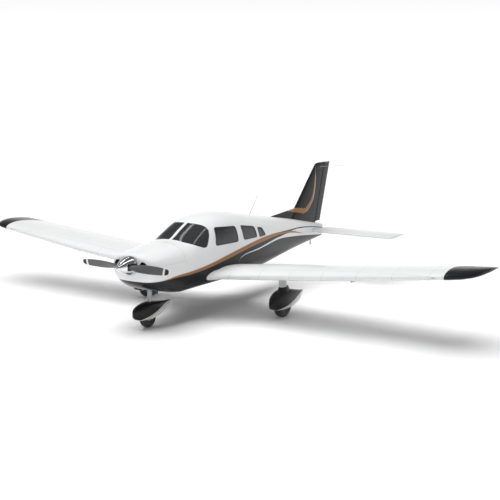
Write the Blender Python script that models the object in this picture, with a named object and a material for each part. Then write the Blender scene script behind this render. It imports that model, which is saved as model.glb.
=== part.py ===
"""A low-wing, four-seat light aircraft with fixed tricycle gear, at full size in metres.

X runs along the span with the left wing at +X, the nose points to -Y and Z is up.
The origin is on the ground under the middle of the length. A station is the distance
aft of the spinner's tip, and at() turns it into a Y coordinate.
"""

import math

import bmesh
import bpy
from mathutils import Matrix, Vector

# Driving dimensions
LENGTH = 7.32
SEAT_GAP = 0.0003
TURNING_GAP = 0.0007
RUNNING_GAP = 0.006
COVE_GAP = 0.0075
END_GAP = 0.007
CABIN_WALL = 0.04
COWL_WALL = 0.012
TAIL_WALL = 0.012
GLASS_INSET = 0.004
GLASS_THICKNESS = 0.006
RING_POINTS = 24

THRUST_LINE = 1.165
SPINNER_LENGTH = 0.325
SPINNER_RADIUS = 0.165
BACKPLATE = 0.012
PROPELLER_RADIUS = 0.93
COWL_FRONT = 0.352
SPINNER_HOLE = 0.12
INLET_X = 0.272
INLET_RADIUS = 0.082
FIREWALL = 1.18
CABIN_FRONT = 1.20
CABIN_REAR = 3.95
TAIL_END = 6.985

MAIN_WHEEL = (1.570, 2.736, 0.2225)
NOSE_WHEEL = (0.0, 0.79, 0.178)
STRUT_RAKE = 0.136
LEG_TOP = 0.84
LEG_RADIUS = 0.05
LEG_SLEEVE = (0.062, 0.092)
COLLAR_TOP = 0.56
STABILATOR_PIVOT = (6.56, 0.985)
PIVOT_TUBE = 0.03
TIE_DOWN = (6.49, 0.665)

# Fuselage sections: station, half width, crown, beltline, belly, crown power, belly power
FUSELAGE = (
    (0.352, 0.335, 1.325, 1.150, 0.940, 2.1, 2.1),
    (0.372, 0.388, 1.345, 1.145, 0.885, 2.1, 2.2),
    (0.430, 0.440, 1.364, 1.135, 0.815, 2.2, 2.4),
    (0.560, 0.482, 1.382, 1.115, 0.735, 2.3, 2.8),
    (0.860, 0.528, 1.420, 1.090, 0.648, 2.5, 3.4),
    (1.180, 0.556, 1.448, 1.070, 0.580, 2.6, 4.2),
    (1.460, 0.570, 1.462, 1.060, 0.592, 2.6, 5.0),
    (1.720, 0.577, 1.598, 1.050, 0.600, 2.7, 5.5),
    (1.970, 0.580, 1.718, 1.050, 0.600, 2.8, 5.5),
    (2.220, 0.582, 1.793, 1.050, 0.600, 2.8, 5.5),
    (2.560, 0.580, 1.824, 1.050, 0.600, 2.8, 5.5),
    (3.000, 0.566, 1.794, 1.050, 0.600, 2.7, 5.0),
    (3.450, 0.532, 1.715, 1.045, 0.605, 2.6, 4.6),
    (3.950, 0.475, 1.625, 1.040, 0.620, 2.5, 4.2),
    (4.600, 0.375, 1.512, 1.030, 0.655, 2.4, 3.6),
    (5.300, 0.265, 1.395, 1.015, 0.700, 2.3, 3.0),
    (6.000, 0.165, 1.270, 0.995, 0.745, 2.2, 2.6),
    (6.600, 0.090, 1.152, 0.970, 0.785, 2.1, 2.2),
    (6.985, 0.040, 1.068, 0.945, 0.815, 2.0, 2.0),
)

# Aerofoil rows: span, leading edge, hinge line, trailing edge, height, incidence, thickness ratio
WING = (
    (0.42, 1.940, 3.220, 3.540, 0.755, 2.0, 0.140),
    (2.70, 1.940, 3.220, 3.540, 0.974, 2.0, 0.140),
    (4.95, 2.150, 3.075, 3.310, 1.190, 0.0, 0.140),
)
WING_TIP = (
    (4.9503, 2.150, 3.075, 3.310, 1.190, 0.0, 0.140),
    (5.1500, 2.190, 3.100, 3.290, 1.209, 0.0, 0.132),
    (5.2900, 2.300, 3.120, 3.282, 1.223, 0.0, 0.118),
    (5.3700, 2.470, 3.150, 3.268, 1.232, 0.0, 0.100),
    (5.4100, 2.760, 3.150, 3.235, 1.236, 0.0, 0.070),
)
ROOT_GLOVE = (
    (0.42, 1.700, 2.800, 3.000, 0.758, 2.0, 0.150),
    (0.98, 1.945, 2.800, 3.000, 0.809, 2.0, 0.125),
)
WING_CAMBER = 0.02
FLAP_SPAN = (0.606, 2.736)
AILERON_SPAN = (2.750, 4.936)
ROOT_RIB = 0.600
BRACKETS = (2.743, 4.943)

# Fin rows: height, leading edge, hinge line, trailing edge, side offset, incidence, thickness ratio
FIN = (
    (1.060, 5.300, 6.625, 6.860, 0.0, 0.0, 0.078),
    (2.385, 6.612, 7.030, 7.300, 0.0, 0.0, 0.088),
    (2.435, 6.675, 7.045, 7.320, 0.0, 0.0, 0.070),
    (2.452, 6.760, 7.050, 7.318, 0.0, 0.0, 0.040),
)
RUDDER_SPAN = (1.165, 2.438)
RUDDER_TOP_PLATE = (2.4435, 2.4495)
RUDDER_FOOT_PLATE = (1.152, 1.158)
DORSAL = ((4.80, 1.455), (4.88, 1.478), (5.76, 1.535), (6.10, 1.620), (6.20, 1.180), (5.00, 1.320))

STABILATOR = (
    (0.125, 6.360, 6.985, 7.115, 0.985, 0.0, 0.100),
    (1.930, 6.360, 6.985, 7.115, 0.985, 0.0, 0.100),
    (1.968, 6.380, 6.985, 7.112, 0.985, 0.0, 0.078),
    (1.980, 6.420, 6.985, 7.100, 0.985, 0.0, 0.050),
)
TAB_SPAN = (0.140, 1.200)

# Outlines as (station, height) corners
WINDSCREEN = ((1.455, 1.430), (1.885, 1.322), (1.930, 1.640), (1.985, 1.712), (1.985, 2.0), (1.455, 2.0))
FRONT_WINDOW = ((2.075, 1.318), (2.115, 1.640), (2.780, 1.588), (2.815, 1.300))
REAR_WINDOW = ((3.000, 1.295), (2.975, 1.565), (3.490, 1.480), (3.530, 1.278))
AFT_WINDOW = ((3.630, 1.275), (3.615, 1.455), (3.700, 1.440), (3.885, 1.268))
CABIN_DOOR = ((2.036, 0.910), (2.036, 1.690), (2.900, 1.690), (2.900, 0.910))
BAGGAGE_DOOR = ((3.320, 0.930), (3.320, 1.215), (3.800, 1.205), (3.800, 0.930))
WINDOW_ROUND = 0.05
CABIN_DOOR_ROUND = 0.10
BAGGAGE_DOOR_ROUND = 0.05
DOOR_GAPS = {"front": 0.006, "rear": 0.014, "top": 0.012, "bottom": 0.006}
CABIN_DOOR_TILT = 0.10
KNUCKLE_RADIUS = 0.010
HINGE_PIN = 0.005

FLOOR_TOP = 0.741
SEAT_FRONT = 1.80
SEAT_PITCH = 0.93
SEAT_CENTRE = 0.265


def at(station):
    """The Y coordinate of a station."""
    return station - LENGTH / 2


def clear_scene():
    for old in list(bpy.data.objects):
        bpy.data.objects.remove(old, do_unlink=True)


def collection(name, helper=False):
    made = bpy.data.collections.new(name)
    made.hide_render = helper
    bpy.context.scene.collection.children.link(made)
    return made


def finish(name, colour, roughness, metallic=0.0, alpha=1.0):
    made = bpy.data.materials.new(name)
    made.use_nodes = True
    shader = made.node_tree.nodes["Principled BSDF"]
    shader.inputs["Base Color"].default_value = (*colour, 1.0)
    shader.inputs["Roughness"].default_value = roughness
    shader.inputs["Metallic"].default_value = metallic
    shader.inputs["Alpha"].default_value = alpha
    made.diffuse_color = (*colour, alpha)
    return made


clear_scene()
PARTS = collection("light_aircraft")
CUTTERS = collection("cutters", helper=True)
WHITE = finish("white_paint", (0.84, 0.85, 0.86), 0.25)
CHARCOAL = finish("charcoal_paint", (0.035, 0.036, 0.04), 0.25)
GREY = finish("grey_paint", (0.45, 0.46, 0.47), 0.45)
STEEL = finish("bare_steel", (0.55, 0.56, 0.58), 0.35, 1.0)
POLISHED = finish("polished_spinner", (0.85, 0.86, 0.88), 0.08, 1.0)
TINTED = finish("tinted_glass", (0.06, 0.07, 0.08), 0.04, 0.0, 0.4)
RUBBER = finish("tyre_rubber", (0.02, 0.02, 0.02), 0.85)
LEATHER = finish("seat_leather", (0.32, 0.29, 0.25), 0.6)
TRIM = finish("cabin_trim", (0.10, 0.10, 0.11), 0.7)
IRON = finish("engine_iron", (0.12, 0.12, 0.13), 0.7, 0.6)


def solid(name, mesh, paint, origin=(0.0, 0.0, 0.0), helper=False):
    """An object from a bmesh in world coordinates, with its origin on its joint."""
    bmesh.ops.translate(mesh, verts=mesh.verts, vec=-Vector(origin))
    data = bpy.data.meshes.new(name)
    mesh.to_mesh(data)
    mesh.free()
    made = bpy.data.objects.new(name, data)
    made.location = origin
    made.hide_render = helper
    if helper:
        made.display_type = "WIRE"
        CUTTERS.objects.link(made)
    else:
        data.materials.append(paint)
        data.shade_smooth()
        data.set_sharp_from_angle(angle=math.radians(32))
        PARTS.objects.link(made)
    return made


def boolean(target, operation, *shapes):
    """Cuts, keeps or joins helper shapes, which are bmeshes, on the target."""
    for shape in shapes:
        helper = shape
        if isinstance(shape, bmesh.types.BMesh):
            helper = solid(f"{target.name}_{operation.lower()}", shape, None, helper=True)
        step = target.modifiers.new(operation.lower(), "BOOLEAN")
        step.operation = operation
        step.object = helper
    return target


def box(low, high):
    mesh = bmesh.new()
    bmesh.ops.create_cube(mesh, size=1.0)
    size = Vector(high) - Vector(low)
    middle = (Vector(high) + Vector(low)) / 2
    bmesh.ops.scale(mesh, verts=mesh.verts, vec=size)
    bmesh.ops.translate(mesh, verts=mesh.verts, vec=middle)
    return mesh


def rod(start, end, radius, sides=20, end_radius=None):
    """A round bar between two points, or a cone with another radius at its end."""
    start, end = Vector(start), Vector(end)
    mesh = bmesh.new()
    bmesh.ops.create_cone(
        mesh,
        cap_ends=True,
        segments=sides,
        radius1=radius,
        radius2=radius if end_radius is None else end_radius,
        depth=(end - start).length,
    )
    turn = Vector((0, 0, 1)).rotation_difference(end - start).to_matrix().to_4x4()
    bmesh.ops.transform(mesh, matrix=Matrix.Translation((start + end) / 2) @ turn, verts=mesh.verts)
    return mesh


def turned(profile, centre, axis, steps, closed=True):
    """A profile of (radius, along) points, spun about an axis through centre."""
    mesh = bmesh.new()
    centre, axis = Vector(centre), Vector(axis)
    down = Vector((0, 0, -1))
    points = [mesh.verts.new(centre + down * radius + axis * along) for radius, along in profile]
    pairs = list(zip(points, points[1:]))
    if closed:
        pairs.append((points[-1], points[0]))
    edges = [mesh.edges.new(pair) for pair in pairs]
    bmesh.ops.spin(
        mesh, geom=points + edges, cent=centre, axis=axis, angle=2 * math.pi, steps=steps, use_merge=True
    )
    bmesh.ops.remove_doubles(mesh, verts=mesh.verts, dist=1e-5)
    bmesh.ops.recalc_face_normals(mesh, faces=mesh.faces)
    return mesh


def rounded(outline, radius, steps=5):
    """The outline with each corner replaced by an arc of the radius."""
    points = []
    count = len(outline)
    for k, corner in enumerate(outline):
        corner = Vector(corner)
        back = (Vector(outline[k - 1]) - corner).normalized()
        on = (Vector(outline[(k + 1) % count]) - corner).normalized()
        half = back.angle(on) / 2
        centre = corner + (back + on).normalized() * radius / math.sin(half)
        first = corner + back * radius / math.tan(half) - centre
        last = corner + on * radius / math.tan(half) - centre
        sweep = first.angle_signed(last)
        for step in range(steps + 1):
            turn = Matrix.Rotation(-sweep * step / steps, 2)
            points.append(centre + turn @ first)
    return points


def shrunk(outline, amount):
    """The outline moved inwards by the amount on every side."""
    points = [Vector(p) for p in outline]
    area = sum(a.x * b.y - b.x * a.y for a, b in zip(points, points[1:] + points[:1]))
    side = 1 if area > 0 else -1
    moved = []
    for k, corner in enumerate(points):
        back = (corner - points[k - 1]).normalized()
        on = (points[(k + 1) % len(points)] - corner).normalized()
        normals = [Vector((-edge.y, edge.x)) * side for edge in (back, on)]
        bisector = (normals[0] + normals[1]).normalized()
        moved.append(corner + bisector * amount / bisector.dot(normals[0]))
    return moved


def prism(outline, inner_x, outer_x):
    """A side-view outline of (station, height) points, extruded across the aircraft."""
    mesh = bmesh.new()
    points = [mesh.verts.new((inner_x, at(station), height)) for station, height in outline]
    face = mesh.faces.new(points)
    grown = bmesh.ops.extrude_face_region(mesh, geom=[face])["geom"]
    moved = [v for v in grown if isinstance(v, bmesh.types.BMVert)]
    bmesh.ops.translate(mesh, verts=moved, vec=(outer_x - inner_x, 0, 0))
    bmesh.ops.recalc_face_normals(mesh, faces=mesh.faces)
    return mesh


def bridge(mesh, rings):
    """Triangles between each ring of vertices and the next, cut the same way on every loft."""
    for ring, following in zip(rings, rings[1:]):
        count = len(ring)
        for k in range(count):
            near = (k + 1) % count
            mesh.faces.new((ring[k], ring[near], following[near]))
            mesh.faces.new((ring[k], following[near], following[k]))


def loft(sections):
    """A closed solid through sections of equally many points."""
    mesh = bmesh.new()
    rings = [[mesh.verts.new(point) for point in section] for section in sections]
    bridge(mesh, rings)
    mesh.faces.new(rings[0])
    mesh.faces.new(rings[-1])
    bmesh.ops.recalc_face_normals(mesh, faces=mesh.faces)
    return mesh


def walled_loft(outer, inner, closed_front=False, closed_rear=False):
    """A hollow loft: outer and inner sections, each end either open or closed by a wall."""
    mesh = bmesh.new()
    skins = [[[mesh.verts.new(point) for point in section] for section in sections] for sections in (outer, inner)]
    for skin in skins:
        bridge(mesh, skin)
    for end, closed in ((0, closed_front), (-1, closed_rear)):
        if closed:
            mesh.faces.new(skins[0][end])
            mesh.faces.new(skins[1][end])
        else:
            bridge(mesh, [skins[0][end], skins[1][end]])
    bmesh.ops.recalc_face_normals(mesh, faces=mesh.faces)
    return mesh


# The fuselage skin

def fuselage_values(station):
    """The table's columns at a station, on smooth curves through its rows."""
    rows = FUSELAGE
    last = len(rows) - 2
    k = min(max(sum(row[0] <= station for row in rows) - 1, 0), last)
    before, low, high, after = rows[max(k - 1, 0)], rows[k], rows[k + 1], rows[min(k + 2, last + 1)]
    span = high[0] - low[0]
    share = (station - low[0]) / span
    values = []
    for column in range(1, 7):
        slope_low = (high[column] - before[column]) / (high[0] - before[0]) * span
        slope_high = (after[column] - low[column]) / (after[0] - low[0]) * span
        values.append(
            low[column] * (1 + 2 * share) * (1 - share) ** 2
            + slope_low * share * (1 - share) ** 2
            + high[column] * share ** 2 * (3 - 2 * share)
            + slope_high * share ** 2 * (share - 1)
        )
    return values


def fuselage_section(station, inset=0.0):
    """A ring of the skin: two superellipses that meet at the beltline."""
    half_width, crown, beltline, belly, crown_power, belly_power = fuselage_values(station)
    ring = []
    for k in range(RING_POINTS):
        angle = 2 * math.pi * k / RING_POINTS
        across, up = math.cos(angle), math.sin(angle)
        power = crown_power if up >= 0 else belly_power
        reach = (crown - beltline if up >= 0 else beltline - belly) - inset
        x = math.copysign(abs(across) ** (2 / power), across) * (half_width - inset)
        z = beltline + math.copysign(abs(up) ** (2 / power), up) * reach
        ring.append((x, at(station), z))
    return ring


def skin_x(station, height, inset=0.0):
    """The skin's half width at a station and a height."""
    half_width, crown, beltline, belly, crown_power, belly_power = fuselage_values(station)
    above = height >= beltline
    reach = (crown - beltline if above else beltline - belly) - inset
    power = crown_power if above else belly_power
    share = min(abs(height - beltline) / reach, 1.0)
    return (half_width - inset) * (1 - share ** power) ** (1 / power)


def stations(first, last, step=0.36):
    """Stations from first to last: the table's rows between them, with more where rows are far apart."""
    marks = [first] + [row[0] for row in FUSELAGE if first + 0.01 < row[0] < last - 0.01] + [last]
    found = [first]
    for low, high in zip(marks, marks[1:]):
        count = max(1, round((high - low) / step))
        found += [low + (high - low) * k / count for k in range(1, count + 1)]
    return found


def skin(first, last, inset):
    return [fuselage_section(station, inset) for station in stations(first, last)]


def strip(first, last, inset, thickness):
    """An open length of the skin as a wall of the thickness."""
    return walled_loft(skin(first, last, inset), skin(first, last, inset + thickness))


def make_cowling():
    """Two half cowls split at the thrust line, with a spinner hole, two inlets and an outlet."""
    places = stations(COWL_FRONT, FIREWALL)
    outer = [fuselage_section(place) for place in places]
    # The inner skin starts one wall thickness further aft, with one ring per outer ring.
    share = (FIREWALL - COWL_FRONT - COWL_WALL) / (FIREWALL - COWL_FRONT)
    inner = [fuselage_section(FIREWALL - (FIREWALL - place) * share, COWL_WALL) for place in places]
    ahead, behind = at(0.2), at(FIREWALL + 0.1)
    halves = {
        "cowling_upper": box((-1, ahead, THRUST_LINE + SEAT_GAP / 2), (1, behind, 2.0)),
        "cowling_lower": box((-1, ahead, 0.0), (1, behind, THRUST_LINE - SEAT_GAP / 2)),
    }
    for name, half in halves.items():
        cowling = solid(name, walled_loft(outer, inner, closed_front=True), WHITE)
        boolean(cowling, "INTERSECT", half)
        for x, radius in ((0, SPINNER_HOLE), (-INLET_X, INLET_RADIUS), (INLET_X, INLET_RADIUS)):
            boolean(cowling, "DIFFERENCE", rod((x, ahead, THRUST_LINE), (x, at(0.6), THRUST_LINE), radius, 24))
        if name == "cowling_lower":
            outlet = box((-0.20, at(0.95), 0.5), (0.20, behind, 0.72))
            leg_hole = rod(strut_point(0.58), strut_point(0.82), 0.058)
            boolean(cowling, "DIFFERENCE", outlet, leg_hole)


def strut_point(height):
    """A point on the nose leg's raked centre line."""
    return (0.0, at(0.86 - (0.62 - height) * STRUT_RAKE), height)


def make_firewall_and_engine():
    plate = [fuselage_section(station, 0.001) for station in (FIREWALL + SEAT_GAP, CABIN_FRONT - SEAT_GAP)]
    solid("firewall", loft(plate), STEEL)
    block = solid("engine_block", box((-0.25, at(0.50), 0.90), (0.25, at(1.08), 1.25)), IRON)
    crank_end = SPINNER_LENGTH + BACKPLATE + SEAT_GAP
    crank = rod((0, at(0.55), THRUST_LINE), (0, at(crank_end), THRUST_LINE), 0.055, 24)
    arms = []
    for side in (-1, 1):
        for height in (0.96, 1.20):
            arms.append(box((side * 0.2 - 0.02, at(1.06), height - 0.02), (side * 0.2 + 0.02, at(FIREWALL), height + 0.02)))
    boolean(block, "UNION", crank, *arms)


def make_cabin():
    shell = solid("cabin_shell", strip(CABIN_FRONT, CABIN_REAR, 0.0, CABIN_WALL), WHITE)
    post = 0.016
    for side in (-1, 1):
        boolean(shell, "DIFFERENCE", prism(WINDSCREEN, side * post, side * 0.9))
    for outline in (REAR_WINDOW, AFT_WINDOW):
        boolean(shell, "DIFFERENCE", prism(rounded(outline, WINDOW_ROUND), -0.9, 0.9))
    boolean(shell, "DIFFERENCE", prism(rounded(FRONT_WINDOW, WINDOW_ROUND), 0.2, 0.9))
    for outline, radius in ((CABIN_DOOR, CABIN_DOOR_ROUND), (BAGGAGE_DOOR, BAGGAGE_DOOR_ROUND)):
        boolean(shell, "DIFFERENCE", prism(rounded(door_opening(outline), radius), -0.9, -0.2))
    return shell


def door_opening(outline):
    """The opening round a door, with its clearance on each side."""
    front = outline[0][0] - DOOR_GAPS["front"]
    rear = outline[2][0] + DOOR_GAPS["rear"]
    top = DOOR_GAPS["top"]
    foot = outline[0][1] - DOOR_GAPS["bottom"]
    return ((front, foot), (front, outline[1][1] + top), (rear, outline[2][1] + top), (rear, foot))


def make_glazing():
    def pane(name, first, last, outline, inner_x, outer_x):
        glass = solid(name, strip(first, last, GLASS_INSET, GLASS_THICKNESS), TINTED)
        return boolean(glass, "INTERSECT", prism(outline, inner_x, outer_x))

    for side, word in ((1, "left"), (-1, "right")):
        post = side * (0.016 + SEAT_GAP)
        pane(f"windscreen_{word}", 1.38, 2.06, shrunk(WINDSCREEN, SEAT_GAP), post, side * 0.9)
        for name, outline in (("rear_window", REAR_WINDOW), ("aft_window", AFT_WINDOW), ("front_window", FRONT_WINDOW)):
            edge = shrunk(rounded(outline, WINDOW_ROUND), SEAT_GAP)
            first, last = outline[0][0] - 0.1, outline[3][0] + 0.1
            pane(f"{name}_{word}", first, last, edge, side * 0.2, side * 0.9)


def door_axis(outline, tilt):
    """A door's hinge axis, just outside the skin: a point at its sill and its direction."""
    station = outline[0][0] - DOOR_GAPS["front"] / 2
    foot, top = outline[0][1], outline[1][1]
    heights = [foot + (top - foot) * k / 20 for k in range(21)]
    reach = max(skin_x(station, height) + tilt * (height - foot) for height in heights)
    return Vector((-reach - KNUCKLE_RADIUS - 0.003, at(station), foot)), Vector((tilt, 0, 1)).normalized()


def make_door(name, outline, radius, tilt, hinge_heights, shell, window=None):
    foot, direction = door_axis(outline, tilt)
    first, last = outline[0][0] - 0.15, outline[2][0] + 0.15
    door = solid(name, strip(first, last, 0.0, CABIN_WALL), WHITE, origin=foot)
    boolean(door, "INTERSECT", prism(rounded(outline, radius), -0.9, -0.2))
    if window:
        boolean(door, "DIFFERENCE", prism(rounded(window, WINDOW_ROUND), -0.9, -0.2))
    for height in hinge_heights:
        pin = foot + direction * (height - foot.z) / direction.z
        wall = -skin_x(outline[0][0], height) + 0.02
        slant = tilt * KNUCKLE_RADIUS + SEAT_GAP
        for body, side, low, high in ((shell, -1, -0.03, 0.0), (door, 1, SEAT_GAP, 0.03)):
            ends = sorted((pin.y, pin.y + side * 0.045))
            levels = sorted((height + side * slant, height + side * 0.028))
            arm = box((pin.x - 0.005, ends[0], levels[0]), (wall, ends[1], levels[1]))
            knuckle = rod(pin + direction * low, pin + direction * high, KNUCKLE_RADIUS, 16)
            boolean(body, "UNION", arm, knuckle)
        boolean(shell, "UNION", rod(pin - direction * 0.02, pin + direction * 0.028, HINGE_PIN, 12))
        boolean(door, "DIFFERENCE", rod(pin - direction * 0.01, pin + direction * 0.04, HINGE_PIN + SEAT_GAP, 12))
    return door


def inside_cabin(name, low, high, *more):
    """What boxes leave of the cabin's inside, just clear of its wall."""
    made = solid(name, loft(skin(CABIN_FRONT, CABIN_REAR, CABIN_WALL + SEAT_GAP)), TRIM)
    keep = solid(f"{name}_room", box(low, high), None, helper=True)
    boolean(keep, "UNION", *more)
    return boolean(made, "INTERSECT", keep)


def make_cabin_fittings():
    inside_cabin("cabin_floor", (-1, at(1.21), 0.715), (1, at(3.90), FLOOR_TOP))
    inside_cabin("baggage_bulkhead", (-1, at(CABIN_REAR - 0.02), 0.5), (1, at(CABIN_REAR - SEAT_GAP), 2.0))
    hood = box((-1, at(1.44), 1.375), (1, at(1.70), 1.405))
    panel = inside_cabin("instrument_panel", (-1, at(1.60), 1.02), (1, at(1.64), 1.39), hood)
    for side in (-1, 1):
        x = side * SEAT_CENTRE
        boolean(panel, "UNION", rod((x, at(1.62), 1.21), (x, at(1.74), 1.21), 0.013, 12))
        boolean(panel, "UNION", box((x - 0.14, at(1.722), 1.198), (x + 0.14, at(1.744), 1.222)))
        for end in (-1, 1):
            grip = x + end * 0.13
            boolean(panel, "UNION", box((grip - 0.013, at(1.721), 1.199), (grip + 0.013, at(1.743), 1.29)))


def seat_outline(front, back_height):
    """A seat from the side: pedestal, cushion and leaning back."""
    floor = FLOOR_TOP + SEAT_GAP
    return (
        (front + 0.06, floor), (front + 0.46, floor), (front + 0.52, 0.93), (front + 0.70, back_height),
        (front + 0.66, back_height + 0.05), (front + 0.60, back_height + 0.04), (front + 0.41, 1.07),
        (front + 0.03, 1.09), (front - 0.01, 1.05), (front, 0.95), (front + 0.06, 0.93),
    )


def make_seats():
    for side, word in ((1, "left"), (-1, "right")):
        centre = side * SEAT_CENTRE
        outline = seat_outline(SEAT_FRONT, 1.50)
        solid(f"front_seat_{word}", prism(outline, centre - 0.225, centre + 0.225), LEATHER)
    solid("rear_seat", prism(seat_outline(SEAT_FRONT + SEAT_PITCH, 1.42), -0.43, 0.43), LEATHER)


TAIL_PLACES = stations(CABIN_REAR + SEAT_GAP, TAIL_END)


def tail_form(inset):
    return loft([fuselage_section(place, inset) for place in TAIL_PLACES])


def make_tail_cone():
    places = TAIL_PLACES
    outer = [fuselage_section(place) for place in places]
    share = (TAIL_END - 0.30 - places[0]) / (TAIL_END - places[0])
    inner = [fuselage_section(places[0] + (place - places[0]) * share, TAIL_WALL) for place in places]
    tail = solid("tail_cone", walled_loft(outer, inner, closed_rear=True), CHARCOAL)
    station, height = STABILATOR_PIVOT
    bore = rod((-0.3, at(station), height), (0.3, at(station), height), PIVOT_TUBE + TURNING_GAP, 20)
    middle, foot = TIE_DOWN
    half, reach, top = 0.006, 0.03, 0.80
    plate = box((-half, at(middle) - reach, foot), (half, at(middle) + reach, top))
    tie_down = solid("tail_tie_down", plate, STEEL)
    eye = rod((-0.05, at(middle), foot + reach), (0.05, at(middle), foot + reach), 0.012, 12)
    boolean(tie_down, "DIFFERENCE", eye)
    gap = SEAT_GAP
    slot = box((-half - gap, at(middle) - reach - gap, foot), (half + gap, at(middle) + reach + gap, top + gap))
    boolean(tail, "DIFFERENCE", bore, slot)


# Aerofoil panels

FRACTIONS = (1.0, 0.84, 0.68, 0.52, 0.38, 0.25, 0.14, 0.06, 0.015)
ARC_STEPS = 8


def thickness_at(fraction, ratio):
    """Half thickness over chord, by the four-digit section law."""
    f = fraction
    return 5 * ratio * (0.2969 * math.sqrt(f) - 0.1260 * f - 0.3516 * f ** 2 + 0.2843 * f ** 3 - 0.1015 * f ** 4)


def camber_at(fraction, rise, crest=0.4):
    if fraction < crest:
        return rise / crest ** 2 * (2 * crest * fraction - fraction ** 2)
    return rise / (1 - crest) ** 2 * (1 - 2 * crest + 2 * crest * fraction - fraction ** 2)


def edge_point(row, fraction, side, rise):
    """A point of the section as (along the chord, across it): side is 1 on top and -1 below."""
    chord = row[3] - row[1]
    return (fraction * chord, chord * (camber_at(fraction, rise) + side * thickness_at(fraction, row[6])))


def full_outline(row, rise):
    upper = [edge_point(row, fraction, 1, rise) for fraction in FRACTIONS]
    lower = [edge_point(row, fraction, -1, rise) for fraction in reversed(FRACTIONS)]
    return upper + [(0.0, 0.0)] + lower


def hinge_of(row, rise):
    """The hinge point in the section, and the half thickness there."""
    chord = row[3] - row[1]
    fraction = (row[2] - row[1]) / chord
    return (fraction * chord, chord * camber_at(fraction, rise)), chord * thickness_at(fraction, row[6])


def arc(centre, radius, first, last, count):
    """Points on an arc, with angles in degrees from the chord's aft direction."""
    points = []
    for k in range(count + 1):
        angle = math.radians(first + (last - first) * k / count)
        points.append((centre[0] + radius * math.cos(angle), centre[1] + radius * math.sin(angle)))
    return points


def control_outline(row, rise):
    """A control surface: a round nose about its hinge, then the section to its trailing edge."""
    hinge, radius = hinge_of(row, rise)
    fraction = (row[2] - row[1]) / (row[3] - row[1])
    middle = (fraction + 1) / 2
    rear = [edge_point(row, f, side, rise) for f, side in ((middle, -1), (1.0, -1), (1.0, 1), (middle, 1))]
    return arc(hinge, radius, 90, 270, ARC_STEPS) + rear


def bay_outline(row, rise, gap):
    """The space that a control surface turns in."""
    hinge, radius = hinge_of(row, rise)
    aft = row[3] - row[2] + 0.08
    rear = [(hinge[0] + aft, hinge[1] - 0.12), (hinge[0] + aft, hinge[1] + 0.12)]
    return arc(hinge, radius + gap, 90, 270, ARC_STEPS) + rear


def row_at(table, span):
    """The row at a span, straight between the table's rows."""
    for low, high in zip(table, table[1:]):
        if span <= high[0] or high is table[-1]:
            share = (span - low[0]) / (high[0] - low[0])
            return tuple(a + (b - a) * share for a, b in zip(low, high))


def wing_place(row, point, side):
    along, across = point
    turn = math.radians(row[5])
    y = at(row[1]) + along * math.cos(turn) + across * math.sin(turn)
    z = row[4] - along * math.sin(turn) + across * math.cos(turn)
    return Vector((side * row[0], y, z))


def fin_place(row, point, side):
    return Vector((point[1], at(row[1]) + point[0], row[0]))


def panel(rows, outline, rise, place, side=1, **more):
    """A loft through the rows with an outline function."""
    return loft([[place(row, point, side) for point in outline(row, rise, **more)] for row in rows])


def hinge_point(table, span, rise, place, side=1):
    row = row_at(table, span)
    return place(row, hinge_of(row, rise)[0], side)


def rows_between(table, first, last):
    middle = [row for row in table if first + 0.002 < row[0] < last - 0.002]
    return [row_at(table, first)] + middle + [row_at(table, last)]


def make_wing(side, word):
    leg_x, leg_station, _ = MAIN_WHEEL
    wing = solid(f"wing_{word}", panel(WING, full_outline, WING_CAMBER, wing_place, side), WHITE)
    boolean(wing, "UNION", panel(ROOT_GLOVE, full_outline, WING_CAMBER, wing_place, side))
    bay_rows = rows_between(WING, ROOT_RIB, WING[-1][0]) + [row_at(WING, WING[-1][0] + 0.05)]
    bay = panel(bay_rows, bay_outline, WING_CAMBER, wing_place, side, gap=COVE_GAP)
    body = loft(skin(CABIN_FRONT, CABIN_REAR, -2 * SEAT_GAP))
    socket = leg_sleeve(side * leg_x, at(leg_station), 0.4, LEG_TOP + SEAT_GAP, SEAT_GAP)
    boolean(wing, "DIFFERENCE", bay, body, socket)

    surfaces = (("flap", FLAP_SPAN), ("aileron", AILERON_SPAN))
    for kind, (first, last) in surfaces:
        rows = rows_between(WING, first, last)
        start = hinge_point(WING, first, WING_CAMBER, wing_place, side)
        end = hinge_point(WING, last, WING_CAMBER, wing_place, side)
        mesh = panel(rows, control_outline, WING_CAMBER, wing_place, side)
        surface = solid(f"{kind}_{word}", mesh, WHITE, origin=start)
        along = (end - start).normalized()
        pin_radius = 0.006
        for root, inward in ((start, along), (end, -along)):
            hole = rod(root - inward * 0.02, root + inward * 0.036, pin_radius + SEAT_GAP, 12)
            boolean(surface, "DIFFERENCE", hole)
            boolean(wing, "UNION", rod(root - inward * 0.0105, root + inward * 0.030, pin_radius, 12))
    for span in BRACKETS:
        centre = hinge_point(WING, span, WING_CAMBER, wing_place, side)
        low = (centre.x - 0.0015, centre.y - 0.085, centre.z - 0.009)
        high = (centre.x + 0.0015, centre.y + 0.009, centre.z + 0.009)
        boolean(wing, "UNION", box(low, high))
    if side == 1:
        mast_x, mast_station = 3.05, 2.55
        mast = box((mast_x - 0.012, at(mast_station), 0.83), (mast_x + 0.012, at(mast_station + 0.12), 1.00))
        boolean(wing, "UNION", mast)

    solid(f"wing_tip_{word}", panel(WING_TIP, full_outline, WING_CAMBER, wing_place, side), CHARCOAL)


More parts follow.
